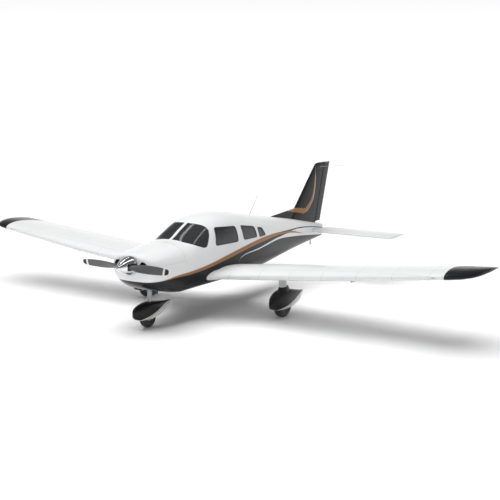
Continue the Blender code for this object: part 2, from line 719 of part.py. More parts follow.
def make_fin():
    fin = solid("fin", panel(FIN, full_outline, 0.0, fin_place), CHARCOAL)
    dorsal = prism(DORSAL, -0.022, 0.022)
    boolean(fin, "UNION", dorsal)
    bay_rows = [row_at(FIN, 1.0)] + rows_between(FIN, 1.10, RUDDER_TOP_PLATE[0])
    boolean(fin, "DIFFERENCE", panel(bay_rows, bay_outline, 0.0, fin_place, gap=COVE_GAP))
    top_bay = box((-0.1, at(7.105), 2.41), (0.1, at(7.4), 2.52))
    boolean(fin, "DIFFERENCE", top_bay, tail_form(-2 * SEAT_GAP))

    first, last = RUDDER_SPAN
    foot = hinge_point(FIN, first, 0.0, fin_place)
    top = hinge_point(FIN, last, 0.0, fin_place)
    rows = rows_between(FIN, first, last)
    rudder = solid("rudder", panel(rows, control_outline, 0.0, fin_place), CHARCOAL, origin=foot)
    along = (top - foot).normalized()
    for root, inward in ((foot, along), (top, -along)):
        boolean(rudder, "DIFFERENCE", rod(root - inward * 0.02, root + inward * 0.036, 0.005 + SEAT_GAP, 12))
    low, high = RUDDER_FOOT_PLATE
    boolean(fin, "UNION", box((-0.008, foot.y - 0.045, low), (0.008, foot.y + 0.010, high)))
    boolean(fin, "UNION", rod(foot - along * 0.010, foot + along * 0.030, 0.005, 12))
    low, high = RUDDER_TOP_PLATE
    boolean(fin, "UNION", box((-0.007, top.y - 0.08, low), (0.007, top.y + 0.010, high)))
    boolean(fin, "UNION", rod(top + along * 0.008, top - along * 0.030, 0.005, 12))


def make_stabilator():
    station, height = STABILATOR_PIVOT
    pivot = Vector((0, at(station), height))
    tube = rod((-0.30, pivot.y, height), (0.30, pivot.y, height), PIVOT_TUBE, 20)
    stabilator = solid("stabilator", tube, WHITE, origin=pivot)
    first, last = TAB_SPAN
    bay_rows = [row_at(STABILATOR, 0.11), row_at(STABILATOR, last + END_GAP)]
    pin_radius = 0.003
    for side, word in ((1, "left"), (-1, "right")):
        half = solid(f"stabilator_half_{word}", panel(STABILATOR, full_outline, 0.0, wing_place, side), None, helper=True)
        boolean(half, "DIFFERENCE", panel(bay_rows, bay_outline, 0.0, wing_place, side, gap=RUNNING_GAP))
        boolean(stabilator, "UNION", half)
        start = hinge_point(STABILATOR, first, 0.0, wing_place, side)
        end = hinge_point(STABILATOR, last, 0.0, wing_place, side)
        rows = rows_between(STABILATOR, first, last)
        tab = solid(f"stabilator_tab_{word}", panel(rows, control_outline, 0.0, wing_place, side), WHITE, origin=start)
        for root, inward in ((start, side), (end, -side)):
            along = Vector((inward, 0, 0))
            boolean(tab, "DIFFERENCE", rod(root - along * 0.02, root + along * 0.026, pin_radius + SEAT_GAP, 12))
            boolean(stabilator, "UNION", rod(root - along * 0.0095, root + along * 0.020, pin_radius, 12))
        ends = sorted((side * 0.128, side * 0.134))
        low = (ends[0], start.y - 0.06, start.z - 0.006)
        high = (ends[1], start.y + 0.006, start.z + 0.006)
        boolean(stabilator, "UNION", box(low, high))


def make_propeller():
    centre = Vector((0, at(SPINNER_LENGTH), THRUST_LINE))
    shape = []
    steps = 7
    for k in range(steps + 1):
        share = k / steps
        shape.append((SPINNER_RADIUS * math.sqrt(1 - (1 - share) ** 1.9) if share else 0.0, -SPINNER_LENGTH * (1 - share)))
    inside = [(SPINNER_RADIUS - 0.008, 0.0), (0.150, -0.05), (0.125, -0.13), (0.090, -0.19), (0.0, -0.19)]
    spinner = solid("spinner", turned(shape + inside, centre, (0, 1, 0), 28, closed=False), POLISHED, origin=centre)
    plane = at(0.205)
    for side in (-1, 1):
        low = (min(side * 0.10, side * 0.25), plane - 0.062, THRUST_LINE - 0.058)
        high = (max(side * 0.10, side * 0.25), centre.y + 0.01, THRUST_LINE + 0.058)
        boolean(spinner, "DIFFERENCE", box(low, high))

    back = centre.y + SEAT_GAP
    plate = rod((0, back, THRUST_LINE), (0, centre.y + BACKPLATE, THRUST_LINE), SPINNER_RADIUS, 28)
    propeller = solid("propeller", plate, IRON, origin=(0, plane, THRUST_LINE))
    boolean(propeller, "UNION", rod((0, plane - 0.045, THRUST_LINE), (0, centre.y + 0.006, THRUST_LINE), 0.075, 24))
    # Blade sections: radius, chord, thickness, pitch angle
    blade = (
        (0.050, 0.090, 0.070, 58), (0.150, 0.096, 0.056, 50), (0.280, 0.135, 0.030, 37), (0.450, 0.150, 0.021, 27),
        (0.650, 0.140, 0.015, 20), (0.820, 0.118, 0.011, 16), (0.900, 0.092, 0.009, 15), (PROPELLER_RADIUS, 0.050, 0.006, 15),
    )
    for side in (-1, 1):
        rings = []
        for radius, chord, thick, pitch in blade:
            turn = math.radians(pitch)
            ring = []
            for k in range(10):
                angle = 2 * math.pi * k / 10
                along = chord / 2 * math.cos(angle)
                across = thick / 2 * math.sin(angle)
                y = along * math.sin(turn) + across * math.cos(turn)
                z = side * (along * math.cos(turn) - across * math.sin(turn))
                ring.append((side * radius, plane + y, THRUST_LINE + z))
            rings.append(ring)
        boolean(propeller, "UNION", loft(rings))


def wheel(prefix, suffix, place, radius, half_width, rim_radius, axle):
    x, station, height = place
    centre = (x, at(station), height)
    bead = rim_radius + SEAT_GAP
    depth = radius - bead
    # Tyre profile as shares of its depth and half width
    shape = ((0.0, 0.70), (0.28, 0.92), (0.58, 1.0), (0.86, 0.84), (1.0, 0.42))
    right = [(bead + depth * share, half_width * wide) for share, wide in shape]
    profile = right + [(r, -wide) for r, wide in reversed(right)]
    solid(f"{prefix}_tyre{suffix}", turned(profile, centre, (1, 0, 0), 24), RUBBER, origin=centre)
    bore, hub, web = axle + SEAT_GAP, rim_radius * 0.62, half_width * 0.34
    edge = half_width * 0.70
    right = [(bore, edge), (hub, edge), (hub, web), (rim_radius - 0.008, web), (rim_radius - 0.008, edge), (rim_radius, edge)]
    profile = right + [(r, -along) for r, along in reversed(right)]
    solid(f"{prefix}_rim{suffix}", turned(profile, centre, (1, 0, 0), 24), STEEL, origin=centre)


def spat(name, x, rows, paint, origin):
    """A wheel fairing from rows of station, half width, top, middle and foot."""
    rings = []
    for station, half_width, top, middle, foot in rows:
        ring = []
        for k in range(16):
            angle = 2 * math.pi * k / 16
            across, up = math.cos(angle), math.sin(angle)
            reach = top - middle if up >= 0 else middle - foot
            px = x + math.copysign(abs(across) ** 0.6, across) * half_width
            pz = middle + math.copysign(abs(up) ** 0.6, up) * reach
            ring.append((px, at(station), pz))
        rings.append(ring)
    return solid(name, loft(rings), paint, origin=origin)


def cut_wheel_bay(fairing, ends, centre, radius, crown):
    """Room for a wheel, open below, with a pocket over it that seats the leg's crown."""
    station, height = centre
    front, rear, top = crown
    outline = [(station - radius, 0.0)]
    for k in range(13):
        angle = math.pi * (1 - k / 12)
        point = (station + radius * math.cos(angle), height + radius * math.sin(angle))
        if point[0] < front or point[0] > rear:
            outline.append(point)
        elif outline[-1][0] < front:
            outline += [(front, point[1]), (front, top + SEAT_GAP), (rear, top + SEAT_GAP), (rear, point[1])]
    outline.append((station + radius, 0.0))
    boolean(fairing, "DIFFERENCE", prism(outline, *ends))


def leg_sleeve(x, y, foot, top, growth=0.0):
    """The main leg's fairing, of an oval section, or the socket that it sits in."""
    wide, long = LEG_SLEEVE
    rings = []
    for level in (foot, top):
        turns = [2 * math.pi * k / 20 for k in range(20)]
        rings.append([(x + (wide + growth) * math.cos(t), y + (long + growth) * math.sin(t), level) for t in turns])
    return loft(rings)


def make_main_gear(side, word):
    x, station, height = MAIN_WHEEL
    x *= side
    y = at(station)
    wheel("main", f"_{word}", (x, station, height), height, 0.078, 0.076, 0.018)
    arm_out, arm_in = x - side * 0.115, x - side * 0.092
    leg = solid(f"main_leg_{word}", leg_sleeve(x, y, COLLAR_TOP + SEAT_GAP, LEG_TOP), GREY)
    boolean(leg, "UNION", rod((x, y, 0.60), (x, y, 0.50), LEG_RADIUS, 20))
    boolean(leg, "UNION", rod((x, y, 0.51), (x, y, 0.460), 0.034, 20))
    crown_ends = sorted((arm_out, x + side * 0.034))
    boolean(leg, "UNION", box((crown_ends[0], y - 0.045, 0.4515), (crown_ends[1], y + 0.045, 0.470)))
    arm_ends = sorted((arm_out, arm_in))
    boolean(leg, "UNION", box((arm_ends[0], y - 0.04, height - 0.035), (arm_ends[1], y + 0.04, 0.465)))
    boolean(leg, "UNION", rod((arm_out + side * 0.005, y, height), (x + side * 0.062, y, height), 0.018, 16))

    # Fairing rows: station, half width, top, middle, foot
    rows = (
        (2.330, 0.020, 0.300, 0.270, 0.240), (2.365, 0.062, 0.362, 0.270, 0.205), (2.450, 0.112, 0.430, 0.272, 0.175),
        (2.600, 0.144, 0.492, 0.276, 0.158), (2.800, 0.150, 0.510, 0.284, 0.156), (3.000, 0.134, 0.474, 0.298, 0.174),
        (3.200, 0.098, 0.428, 0.318, 0.222), (3.360, 0.048, 0.396, 0.342, 0.292), (3.460, 0.012, 0.380, 0.364, 0.348),
    )
    fairing = spat(f"main_fairing_{word}", x, rows, CHARCOAL, (0, 0, 0))
    collar_rows = []
    for level, long, wide in ((0.44, 0.22, 0.095), (0.51, 0.165, 0.078), (COLLAR_TOP, 0.125, 0.068)):
        ring = [
            (x + wide * math.cos(2 * math.pi * k / 20), y + 0.03 + long * math.sin(2 * math.pi * k / 20), level)
            for k in range(20)
        ]
        collar_rows.append(ring)
    boolean(fairing, "UNION", loft(collar_rows))
    bay_ends = sorted((arm_out - side * SEAT_GAP, x + side * 0.098))
    cut_wheel_bay(fairing, bay_ends, (station, height), height + 0.016, (station - 0.046, station + 0.046, 0.470))
    boolean(fairing, "DIFFERENCE", rod((x, y, 0.40), (x, y, 0.70), LEG_RADIUS + SEAT_GAP))


def make_nose_gear():
    x, station, height = NOSE_WHEEL
    y = at(station)
    wheel("nose", "", NOSE_WHEEL, height, 0.0625, 0.0635, 0.012)
    strut = solid("nose_strut", rod(strut_point(0.455), strut_point(0.86), 0.038, 20), GREY)
    for level in (0.735, 0.835):
        boolean(strut, "UNION", box((-0.03, at(0.87), level - 0.02), (0.03, at(FIREWALL), level + 0.02)))
    top = Vector(strut_point(0.455 - SEAT_GAP))
    fork = solid("nose_fork", rod(top, Vector(strut_point(0.385)), 0.028, 20), GREY, origin=top)
    boolean(fork, "UNION", box((-0.085, y - 0.03, 0.372), (0.085, y + 0.085, 0.402)))
    for side in (-1, 1):
        ends = sorted((side * 0.0705, side * 0.085))
        boolean(fork, "UNION", box((ends[0], y - 0.03, height - 0.03), (ends[1], y + 0.045, 0.39)))
    boolean(fork, "UNION", rod((-0.08, y, height), (0.08, y, height), 0.012, 16))

    # Fairing rows: station, half width, top, middle, foot
    rows = (
        (0.410, 0.018, 0.330, 0.300, 0.270), (0.440, 0.056, 0.368, 0.290, 0.215), (0.520, 0.096, 0.405, 0.278, 0.172),
        (0.660, 0.120, 0.440, 0.270, 0.152), (0.820, 0.124, 0.452, 0.272, 0.148), (0.980, 0.110, 0.434, 0.284, 0.165),
        (1.140, 0.078, 0.412, 0.304, 0.205), (1.300, 0.036, 0.392, 0.336, 0.276), (1.430, 0.010, 0.380, 0.362, 0.344),
    )
    fairing = spat("nose_fairing", 0.0, rows, CHARCOAL, top)
    ends = (-0.085 - SEAT_GAP, 0.085 + SEAT_GAP)
    cut_wheel_bay(fairing, ends, (station, height), height + 0.016, (station - 0.031, station + 0.086, 0.402))
    boolean(fairing, "DIFFERENCE", rod(strut_point(0.36), strut_point(0.56), 0.045))


def make_small_fittings(shell, tail):
    """Items that stand on the skin, each seated in a shallow pocket of what carries it."""
    whip_foot = Vector((0.0, at(4.02), 1.590))
    whip_tip = Vector((0.0, at(4.35), 1.99))
    solid("whip_aerial", rod(whip_foot, whip_tip, 0.006, 10, 0.0025), STEEL)
    boolean(tail, "DIFFERENCE", rod(whip_foot - (whip_tip - whip_foot) * 0.02, whip_tip, 0.006 + SEAT_GAP, 10, 0.0028))
    start, bend, end = (-0.13, at(0.985), 0.90 - SEAT_GAP), (-0.13, at(0.985), 0.66), (-0.13, at(1.16), 0.548)
    pipe = solid("exhaust_pipe", rod(start, bend, 0.03, 16), STEEL)
    boolean(pipe, "UNION", rod((-0.13, at(0.985), 0.69), end, 0.028, 16))
    step_x, step_station = -0.40, 3.66
    step = solid("boarding_step", box((step_x - 0.012, at(step_station), 0.40), (step_x + 0.012, at(step_station + 0.03), 0.66)), GREY)
    boolean(step, "UNION", box((step_x - 0.13, at(step_station - 0.045), 0.385), (step_x + 0.03, at(step_station + 0.065), 0.405)))
    pocket = box(
        (step_x - 0.012 - SEAT_GAP, at(step_station) - SEAT_GAP, 0.5),
        (step_x + 0.012 + SEAT_GAP, at(step_station + 0.03) + SEAT_GAP, 0.66 + SEAT_GAP),
    )
    boolean(shell, "DIFFERENCE", pocket)


def main():
    make_cowling()
    make_firewall_and_engine()
    shell = make_cabin()
    make_glazing()
    make_door("cabin_door", CABIN_DOOR, CABIN_DOOR_ROUND, CABIN_DOOR_TILT, (1.04, 1.27), shell, FRONT_WINDOW)
    make_door("baggage_door", BAGGAGE_DOOR, BAGGAGE_DOOR_ROUND, 0.0, (1.02, 1.12), shell)
    make_cabin_fittings()
    make_seats()
    make_tail_cone()
    for side, word in ((1, "left"), (-1, "right")):
        make_wing(side, word)
        make_main_gear(side, word)
    make_fin()
    make_stabilator()
    make_propeller()
    make_nose_gear()
    make_small_fittings(shell, bpy.data.objects["tail_cone"])


main()
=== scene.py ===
# %% [markdown]
# A low-wing, four-seat light aircraft stands on a pale studio floor. The CAD model is the fixed frame:
# every skin, pane, wheel and seat below takes its place from it, in metres. X runs along the span with
# the left wing at +X, the nose points to -Y and Z is up.

# %% Load the frame and keep its size
import math
import bmesh
import bpy
from mathutils import Matrix, Vector


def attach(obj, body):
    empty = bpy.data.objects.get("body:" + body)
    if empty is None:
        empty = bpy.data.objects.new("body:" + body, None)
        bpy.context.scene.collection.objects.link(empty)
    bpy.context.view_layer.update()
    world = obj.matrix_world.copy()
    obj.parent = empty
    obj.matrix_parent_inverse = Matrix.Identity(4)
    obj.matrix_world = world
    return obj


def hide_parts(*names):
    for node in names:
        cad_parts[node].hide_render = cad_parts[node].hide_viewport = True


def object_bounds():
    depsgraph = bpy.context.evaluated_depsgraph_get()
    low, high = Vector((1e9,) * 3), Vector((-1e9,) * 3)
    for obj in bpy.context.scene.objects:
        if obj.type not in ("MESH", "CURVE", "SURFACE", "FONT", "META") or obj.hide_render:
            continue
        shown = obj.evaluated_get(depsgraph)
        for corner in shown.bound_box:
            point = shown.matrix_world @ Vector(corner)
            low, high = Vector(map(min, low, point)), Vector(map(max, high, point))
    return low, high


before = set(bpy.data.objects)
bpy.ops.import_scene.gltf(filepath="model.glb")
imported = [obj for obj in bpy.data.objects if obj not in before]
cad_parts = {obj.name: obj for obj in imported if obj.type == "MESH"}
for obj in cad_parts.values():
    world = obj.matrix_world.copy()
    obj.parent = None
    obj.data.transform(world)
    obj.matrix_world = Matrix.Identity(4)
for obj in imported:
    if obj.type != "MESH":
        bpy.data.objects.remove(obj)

cad_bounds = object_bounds()
LENGTH = cad_bounds[1][1] - cad_bounds[0][1]
print("The CAD model is", [round(b - a, 3) for a, b in zip(*cad_bounds)], "m")


# %% [markdown]
# Aircraft are drawn by stations, the distance aft of the nose. One small function turns a station into
# the scene's Y, so that every table below can be read like a drawing.

# %% Stations and the fuselage table
def at(station):
    return station - LENGTH / 2


# Station, half width, crown, beltline, belly, crown power, belly power
FUSELAGE = (
    (0.352, 0.335, 1.325, 1.150, 0.940, 2.1, 2.1),
    (0.372, 0.388, 1.345, 1.145, 0.885, 2.1, 2.2),
    (0.430, 0.440, 1.364, 1.135, 0.815, 2.2, 2.4),
    (0.560, 0.482, 1.382, 1.115, 0.735, 2.3, 2.8),
    (0.860, 0.528, 1.420, 1.090, 0.648, 2.5, 3.4),
    (1.180, 0.556, 1.448, 1.070, 0.580, 2.6, 4.2),
    (1.460, 0.570, 1.462, 1.060, 0.592, 2.6, 5.0),
    (1.720, 0.577, 1.598, 1.050, 0.600, 2.7, 5.5),
    (1.970, 0.580, 1.718, 1.050, 0.600, 2.8, 5.5),
    (2.220, 0.582, 1.793, 1.050, 0.600, 2.8, 5.5),
    (2.560, 0.580, 1.824, 1.050, 0.600, 2.8, 5.5),
    (3.000, 0.566, 1.794, 1.050, 0.600, 2.7, 5.0),
    (3.450, 0.532, 1.715, 1.045, 0.605, 2.6, 4.6),
    (3.950, 0.475, 1.625, 1.040, 0.620, 2.5, 4.2),
    (4.600, 0.375, 1.512, 1.030, 0.655, 2.4, 3.6),
    (5.300, 0.265, 1.395, 1.015, 0.700, 2.3, 3.0),
    (6.000, 0.165, 1.270, 0.995, 0.745, 2.2, 2.6),
    (6.600, 0.090, 1.152, 0.970, 0.785, 2.1, 2.2),
    (6.985, 0.040, 1.068, 0.945, 0.815, 2.0, 2.0),
)
COWL_FRONT = 0.352
FIREWALL = 1.18
CABIN_FRONT = 1.20
CABIN_REAR = 3.95
TAIL_END = 6.985
COWL_WALL = 0.012
CABIN_WALL = 0.04
WALL_STEP = 0.045
THRUST_LINE = 1.165
SEAM = 0.0015
RING_POINTS = 96
# Faces that touch on the real aircraft lie this far apart
CLEAR = 0.0003
SIDES = ((1, "left"), (-1, "right"))
print("The fuselage table has", len(FUSELAGE), "sections")


# %% [markdown]
# Between two rows of a table the skin has to stay smooth, as rolled sheet does, so each column is read
# on a Hermite curve whose slope at a row comes from that row's neighbours. The section itself is two
# superellipses that meet at the beltline: a rounder one for the crown and a boxier one below.

# %% Read a table between its rows, and draw a section
def smooth_row(rows, spot):
    k = min(max(sum(row[0] <= spot for row in rows) - 1, 0), len(rows) - 2)
    before, low = rows[max(k - 1, 0)], rows[k]
    high, after = rows[k + 1], rows[min(k + 2, len(rows) - 1)]
    span = high[0] - low[0]
    share = (spot - low[0]) / span
    values = []
    for a, b, c, d in list(zip(before, low, high, after))[1:]:
        slope_low = (c - a) / (high[0] - before[0]) * span
        slope_high = (d - b) / (after[0] - low[0]) * span
        values.append(
            b * (1 + 2 * share) * (1 - share) ** 2 + slope_low * share * (1 - share) ** 2
            + c * share ** 2 * (3 - 2 * share) + slope_high * share ** 2 * (share - 1)
        )
    return values


def smoothed(rows, count):
    """The table with count rows for each one, spread evenly to the next."""
    result = []
    for low, high in zip(rows, rows[1:]):
        for step in range(count):
            spot = low[0] + (high[0] - low[0]) * step / count
            result.append((spot, *smooth_row(rows, spot)))
    return result + [rows[-1]]


def evenly(first, last, step):
    count = max(1, round((last - first) / step))
    return [first + (last - first) * k / count for k in range(count + 1)]


def section(x, station, half_width, top, middle, foot, top_power, foot_power, count):
    ring = []
    for k in range(count):
        angle = 2 * math.pi * k / count
        across, up = math.cos(angle), math.sin(angle)
        power, reach = (top_power, top - middle) if up >= 0 else (foot_power, middle - foot)
        wide = math.copysign(abs(across) ** (2 / power), across) * half_width
        high = math.copysign(abs(up) ** (2 / power), up) * reach
        ring.append(Vector((x + wide, at(station), middle + high)))
    return ring


def fuselage_section(station, inset=0.0):
    half_width, crown, beltline, belly, *powers = smooth_row(FUSELAGE, station)
    return section(
        0.0, station, half_width - inset, crown - inset, beltline, belly + inset, *powers, RING_POINTS
    )


def skin_x(station, height):
    half_width, crown, beltline, belly, crown_power, belly_power = smooth_row(FUSELAGE, station)
    above = height >= beltline
    reach, power = (crown - beltline, crown_power) if above else (beltline - belly, belly_power)
    return half_width * (1 - min(abs(height - beltline) / reach, 1.0) ** power) ** (1 / power)


print("The cabin is", round(2 * skin_x(2.2, 1.05), 3), "m wide at the front seats")


# %% [markdown]
# A loft is one circle that is extruded from section to section, with its vertices moved onto each
# section in turn. A whole number kept on every vertex says which point of the section it is, and
# extruding copies that number, so no vertex list is worked out by hand.

# %% The loft helper
def loft(sections, closed=False):
    mesh = bmesh.new()
    place = mesh.verts.layers.int.new("place")
    ring = bmesh.ops.create_circle(mesh, segments=len(sections[0]), radius=1.0)["verts"]
    for k, vert in enumerate(ring):
        vert[place] = k
    first_edges = edges = list(mesh.edges)
    for number, points in enumerate(sections):
        if number:
            new = bmesh.ops.extrude_edge_only(mesh, edges=edges)["geom"]
            ring = [item for item in new if isinstance(item, bmesh.types.BMVert)]
            edges = [item for item in new if isinstance(item, bmesh.types.BMEdge) and item.is_boundary]
        for vert in ring:
            vert.co = points[vert[place]]
    if closed:
        bmesh.ops.bridge_loops(mesh, edges=edges + first_edges)
    else:
        bmesh.ops.contextual_create(mesh, geom=first_edges)
        bmesh.ops.contextual_create(mesh, geom=edges)
    bmesh.ops.recalc_face_normals(mesh, faces=mesh.faces)
    return mesh


def wall(first, last, inset, thickness):
    """An open length of the fuselage skin, as a wall."""
    places = evenly(first, last, WALL_STEP)
    outer = [fuselage_section(place, inset) for place in places]
    inner = [fuselage_section(place, inset + thickness) for place in reversed(places)]
    return loft(outer + inner, closed=True)


print("Skins have", RING_POINTS, "points around")


# %% [markdown]
# Windows, doors and wheel bays are cut out of finished skins, as they are in the shop. A Boolean
# modifier does it, and its result is kept at once, so no cutter stays in the scene.

# %% Cut, keep or join two shapes
def placed(name, data):
    made = bpy.data.objects.new(name, data)
    bpy.context.scene.collection.objects.link(made)
    return made


def stand_in(mesh, name):
    data = bpy.data.meshes.new(name)
    mesh.to_mesh(data)
    mesh.free()
    return placed(name, data)


def result_of(made):
    """What an object's modifiers make of it, as a new mesh."""
    bpy.context.view_layer.update()
    return bpy.data.meshes.new_from_object(made.evaluated_get(bpy.context.evaluated_depsgraph_get()))


def taken(data, mesh):
    """Move a mesh's faces into a bmesh."""
    mesh.from_mesh(data)
    bpy.data.meshes.remove(data)
    return mesh


def carved(mesh, cutter, operation="DIFFERENCE"):
    target, tool = stand_in(mesh, "target"), stand_in(cutter, "tool")
    step = target.modifiers.new("carve", "BOOLEAN")
    step.operation = operation
    step.solver = "MANIFOLD"
    step.object = tool
    result = taken(result_of(target), bmesh.new())
    for used in (target, tool):
        bpy.data.meshes.remove(used.data)
    return result


def joined(first, *others):
    """Shapes that don't touch, as one bmesh."""
    for mesh in others:
        data = bpy.data.meshes.new("joined")
        mesh.to_mesh(data)
        mesh.free()
        taken(data, first)
    return first


print("Cutting tools ready")


# %% [markdown]
# Each finished mesh becomes a piece: an object at the origin, with its paint, riding on the body that
# carries it and standing for the CAD node that it replaces. Edges sharper than the given angle stay
# crisp and the rest shade smoothly, as painted sheet does.

# %% Make a piece
def piece(name, mesh, paint, nodes=(), body="airframe", sharp=35, bevel=0.0):
    made = stand_in(mesh, name)
    made.data.materials.append(paint)
    if bevel:
        round_off = made.modifiers.new("edges", "BEVEL")
        round_off.width = bevel
        round_off.segments = 2
        round_off.limit_method = "ANGLE"
        round_off.angle_limit = math.radians(sharp)
    made.data.shade_smooth()
    made.data.set_sharp_from_angle(angle=math.radians(sharp))
    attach(made, body)
    if nodes:
        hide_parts(*nodes)


print("Pieces can be made")


# %% [markdown]
# Most small parts are blocks, rods, turned shapes or plates cut from a side view. Each comes from one
# bmesh operator, or from a short profile that is spun or extruded.

# %% Basic shapes
def box(one, other):
    """A block between two opposite corners."""
    one, other = Vector(one), Vector(other)
    mesh = bmesh.new()
    bmesh.ops.create_cube(mesh, size=1.0)
    bmesh.ops.scale(mesh, verts=mesh.verts, vec=[abs(a - b) for a, b in zip(one, other)])
    bmesh.ops.translate(mesh, verts=mesh.verts, vec=(one + other) / 2)
    return mesh


def rod(start, end, radius, sides=32, end_radius=None):
    start, end = Vector(start), Vector(end)
    mesh = bmesh.new()
    last = radius if end_radius is None else end_radius
    length = (end - start).length
    bmesh.ops.create_cone(mesh, cap_ends=True, segments=sides, radius1=radius, radius2=last, depth=length)
    turn = Vector((0, 0, 1)).rotation_difference(end - start).to_matrix().to_4x4()
    bmesh.ops.transform(mesh, matrix=Matrix.Translation((start + end) / 2) @ turn, verts=mesh.verts)
    return mesh


def turned(profile, centre, axis, steps, closed=True):
    """A profile of (radius, along) points, spun about an axis through centre."""
    mesh = bmesh.new()
    centre, axis, down = Vector(centre), Vector(axis), Vector((0, 0, -1))
    points = [mesh.verts.new(centre + down * radius + axis * along) for radius, along in profile]
    pairs = list(zip(points, points[1:])) + [(points[-1], points[0])] * closed
    edges = [mesh.edges.new(pair) for pair in pairs]
    bmesh.ops.spin(
        mesh, geom=points + edges, cent=centre, axis=axis, angle=2 * math.pi, steps=steps, use_merge=True
    )
    bmesh.ops.remove_doubles(mesh, verts=mesh.verts, dist=1e-5)
    bmesh.ops.recalc_face_normals(mesh, faces=mesh.faces)
    return mesh


def rounded(mesh, geom, affect, radius, segments):
    bmesh.ops.bevel(
        mesh, geom=geom, offset=radius, offset_type="OFFSET", affect=affect, segments=segments,
        profile=0.5, material=-1, clamp_overlap=True,
    )


def prism(outline, inner_x, outer_x, corner=0.0):
    """A side-view outline of (station, height) points with its corners rounded, extruded across."""
    mesh = bmesh.new()
    mesh.faces.new([mesh.verts.new((inner_x, at(station), height)) for station, height in outline])
    if corner:
        rounded(mesh, mesh.verts[:], "VERTICES", corner, 8)
    new = bmesh.ops.extrude_face_region(mesh, geom=mesh.faces[:])["geom"]
    moved = [item for item in new if isinstance(item, bmesh.types.BMVert)]
    bmesh.ops.translate(mesh, verts=moved, vec=(outer_x - inner_x, 0, 0))
    bmesh.ops.recalc_face_normals(mesh, faces=mesh.faces)
    return mesh


print("Basic shapes ready")


# %% [markdown]
# Finishes are worked out from small node recipes. A class that remembers one material's node tree keeps
# each recipe short: it adds a node, feeds it numbers or other nodes, and hands back its result.

# %% The node helper
class Finish:
    def __init__(self, name, **values):
        self.material = bpy.data.materials.new(name)
        self.material.use_nodes = True
        self.tree = self.material.node_tree
        self.shader = self.tree.nodes["Principled BSDF"]
        self.place = self.tree.nodes.new("ShaderNodeTexCoord").outputs["Object"]
        self.x, self.y, self.z = self.node("SeparateXYZ", Vector=self.place).outputs
        self.set(**values)

    def node(self, kind, **inputs):
        made = self.tree.nodes.new("ShaderNode" + kind)
        for name, value in inputs.items():
            self.feed(made.inputs[name.replace("_", " ")], value)
        return made

    def feed(self, socket, value):
        if isinstance(value, bpy.types.NodeSocket):
            self.tree.links.new(value, socket)
        else:
            socket.default_value = (*value, 1.0) if socket.type == "RGBA" else value

    def set(self, **values):
        for name, value in values.items():
            self.feed(self.shader.inputs[name.replace("_", " ")], value)

    def maths(self, operation, first, second=0.0, clamp=False):
        made = self.node("Math")
        made.operation = operation
        made.use_clamp = clamp
        self.feed(made.inputs[0], first)
        self.feed(made.inputs[1], second)
        return made.outputs[0]

    def minus(self, first, second):
        return self.maths("SUBTRACT", first, second)

    def times(self, first, *others):
        for value in others:
            first = self.maths("MULTIPLY", first, value)
        return first

    def station(self):
        return self.maths("ADD", self.y, LENGTH / 2)

    def blend(self, share, *colours):
        made = self.node("Mix")
        made.data_type = "RGBA"
        self.feed(made.inputs[0], share)
        for socket, value in zip([s for s in made.inputs if s.type == "RGBA"], colours):
            self.feed(socket, value)
        return next(socket for socket in made.outputs if socket.type == "RGBA")

    def above(self, value, edge, soft):
        """1 where the value is over the edge, 0 under it, with a paint edge of the soft width."""
        past = self.maths("DIVIDE", self.minus(value, edge), soft)
        return self.maths("ADD", past, 0.5, clamp=True)

    def curve(self, value, points, low, high, reach):
        """A smooth curve through (value, result) points, for values from low to high, results up to reach."""
        share = self.maths("DIVIDE", self.minus(value, low), high - low, clamp=True)
        made = self.node("FloatCurve", Value=share)
        line = made.mapping.curves[0]
        spots = [((spot - low) / (high - low), result / reach) for spot, result in points]
        line.points[0].location = spots[0]
        line.points[1].location = spots[-1]
        for spot in spots[1:-1]:
            line.points.new(*spot)
        made.mapping.update()
        return self.times(made.outputs[0], reach)

    def noise(self, scale, detail):
        return self.node("TexNoise", Vector=self.place, Scale=scale, Detail=detail).outputs[0]

    def mottled(self, colour, scale, dark, light):
        return self.blend(
            self.noise(scale, 4.0), [c * dark for c in colour], [min(c * light, 1) for c in colour]
        )

    def ramp(self, value, low, high):
        """The value, taken from 0..1 to low..high."""
        return self.maths("ADD", self.times(value, high - low), low)

    def bump(self, height, strength, distance):
        self.set(Normal=self.node("Bump", Height=height, Strength=strength, Distance=distance).outputs[0])


print("Node helper ready")


# %% [markdown]
# The paint is a gloss enamel under a thin clear coat. Real sheet is never perfectly flat: a faint
# waviness bends the reflections, and tone and gloss differ a little from place to place. All the paints
# share that.

# %% Paint colours and the gloss they share
WHITE = (0.76, 0.763, 0.77)
CHARCOAL = (0.014, 0.0145, 0.0155)
BRONZE = (0.30, 0.150, 0.060)
STRIPE_BROWN = (0.085, 0.055, 0.035)
CURL_LIGHT = (0.62, 0.60, 0.55)
FLOW_DIRT = (0.55, 0.55, 0.54)
SEAM_GREY = (0.22, 0.22, 0.23)


def enamel(finish, colour, waviness=0.08):
    value = finish.ramp(finish.noise(1.7, 4.0), 0.97, 1.03)
    tone = finish.node("HueSaturation", Hue=0.5, Saturation=1.0, Value=value, Color=colour)
    finish.set(Base_Color=tone.outputs[0], Roughness=finish.ramp(finish.noise(9.0, 5.0), 0.20, 0.30))
    finish.set(Specular_IOR_Level=0.14, Coat_Weight=0.07, Coat_Roughness=0.05)
    finish.bump(finish.noise(2.2, 1.0), waviness, 0.004)
    return finish.material


print("White enamel reflects", WHITE[0], "of the light, charcoal", CHARCOAL[0])


# %% [markdown]
# The fuselage livery is charcoal below, white above, and a bronze stripe between them that climbs to the
# tail, with a fine white line inside the charcoal that widens to a wedge. Every edge is a curve of
# height against station, so one finish paints the cowl, cabin, doors and tail cone in register.

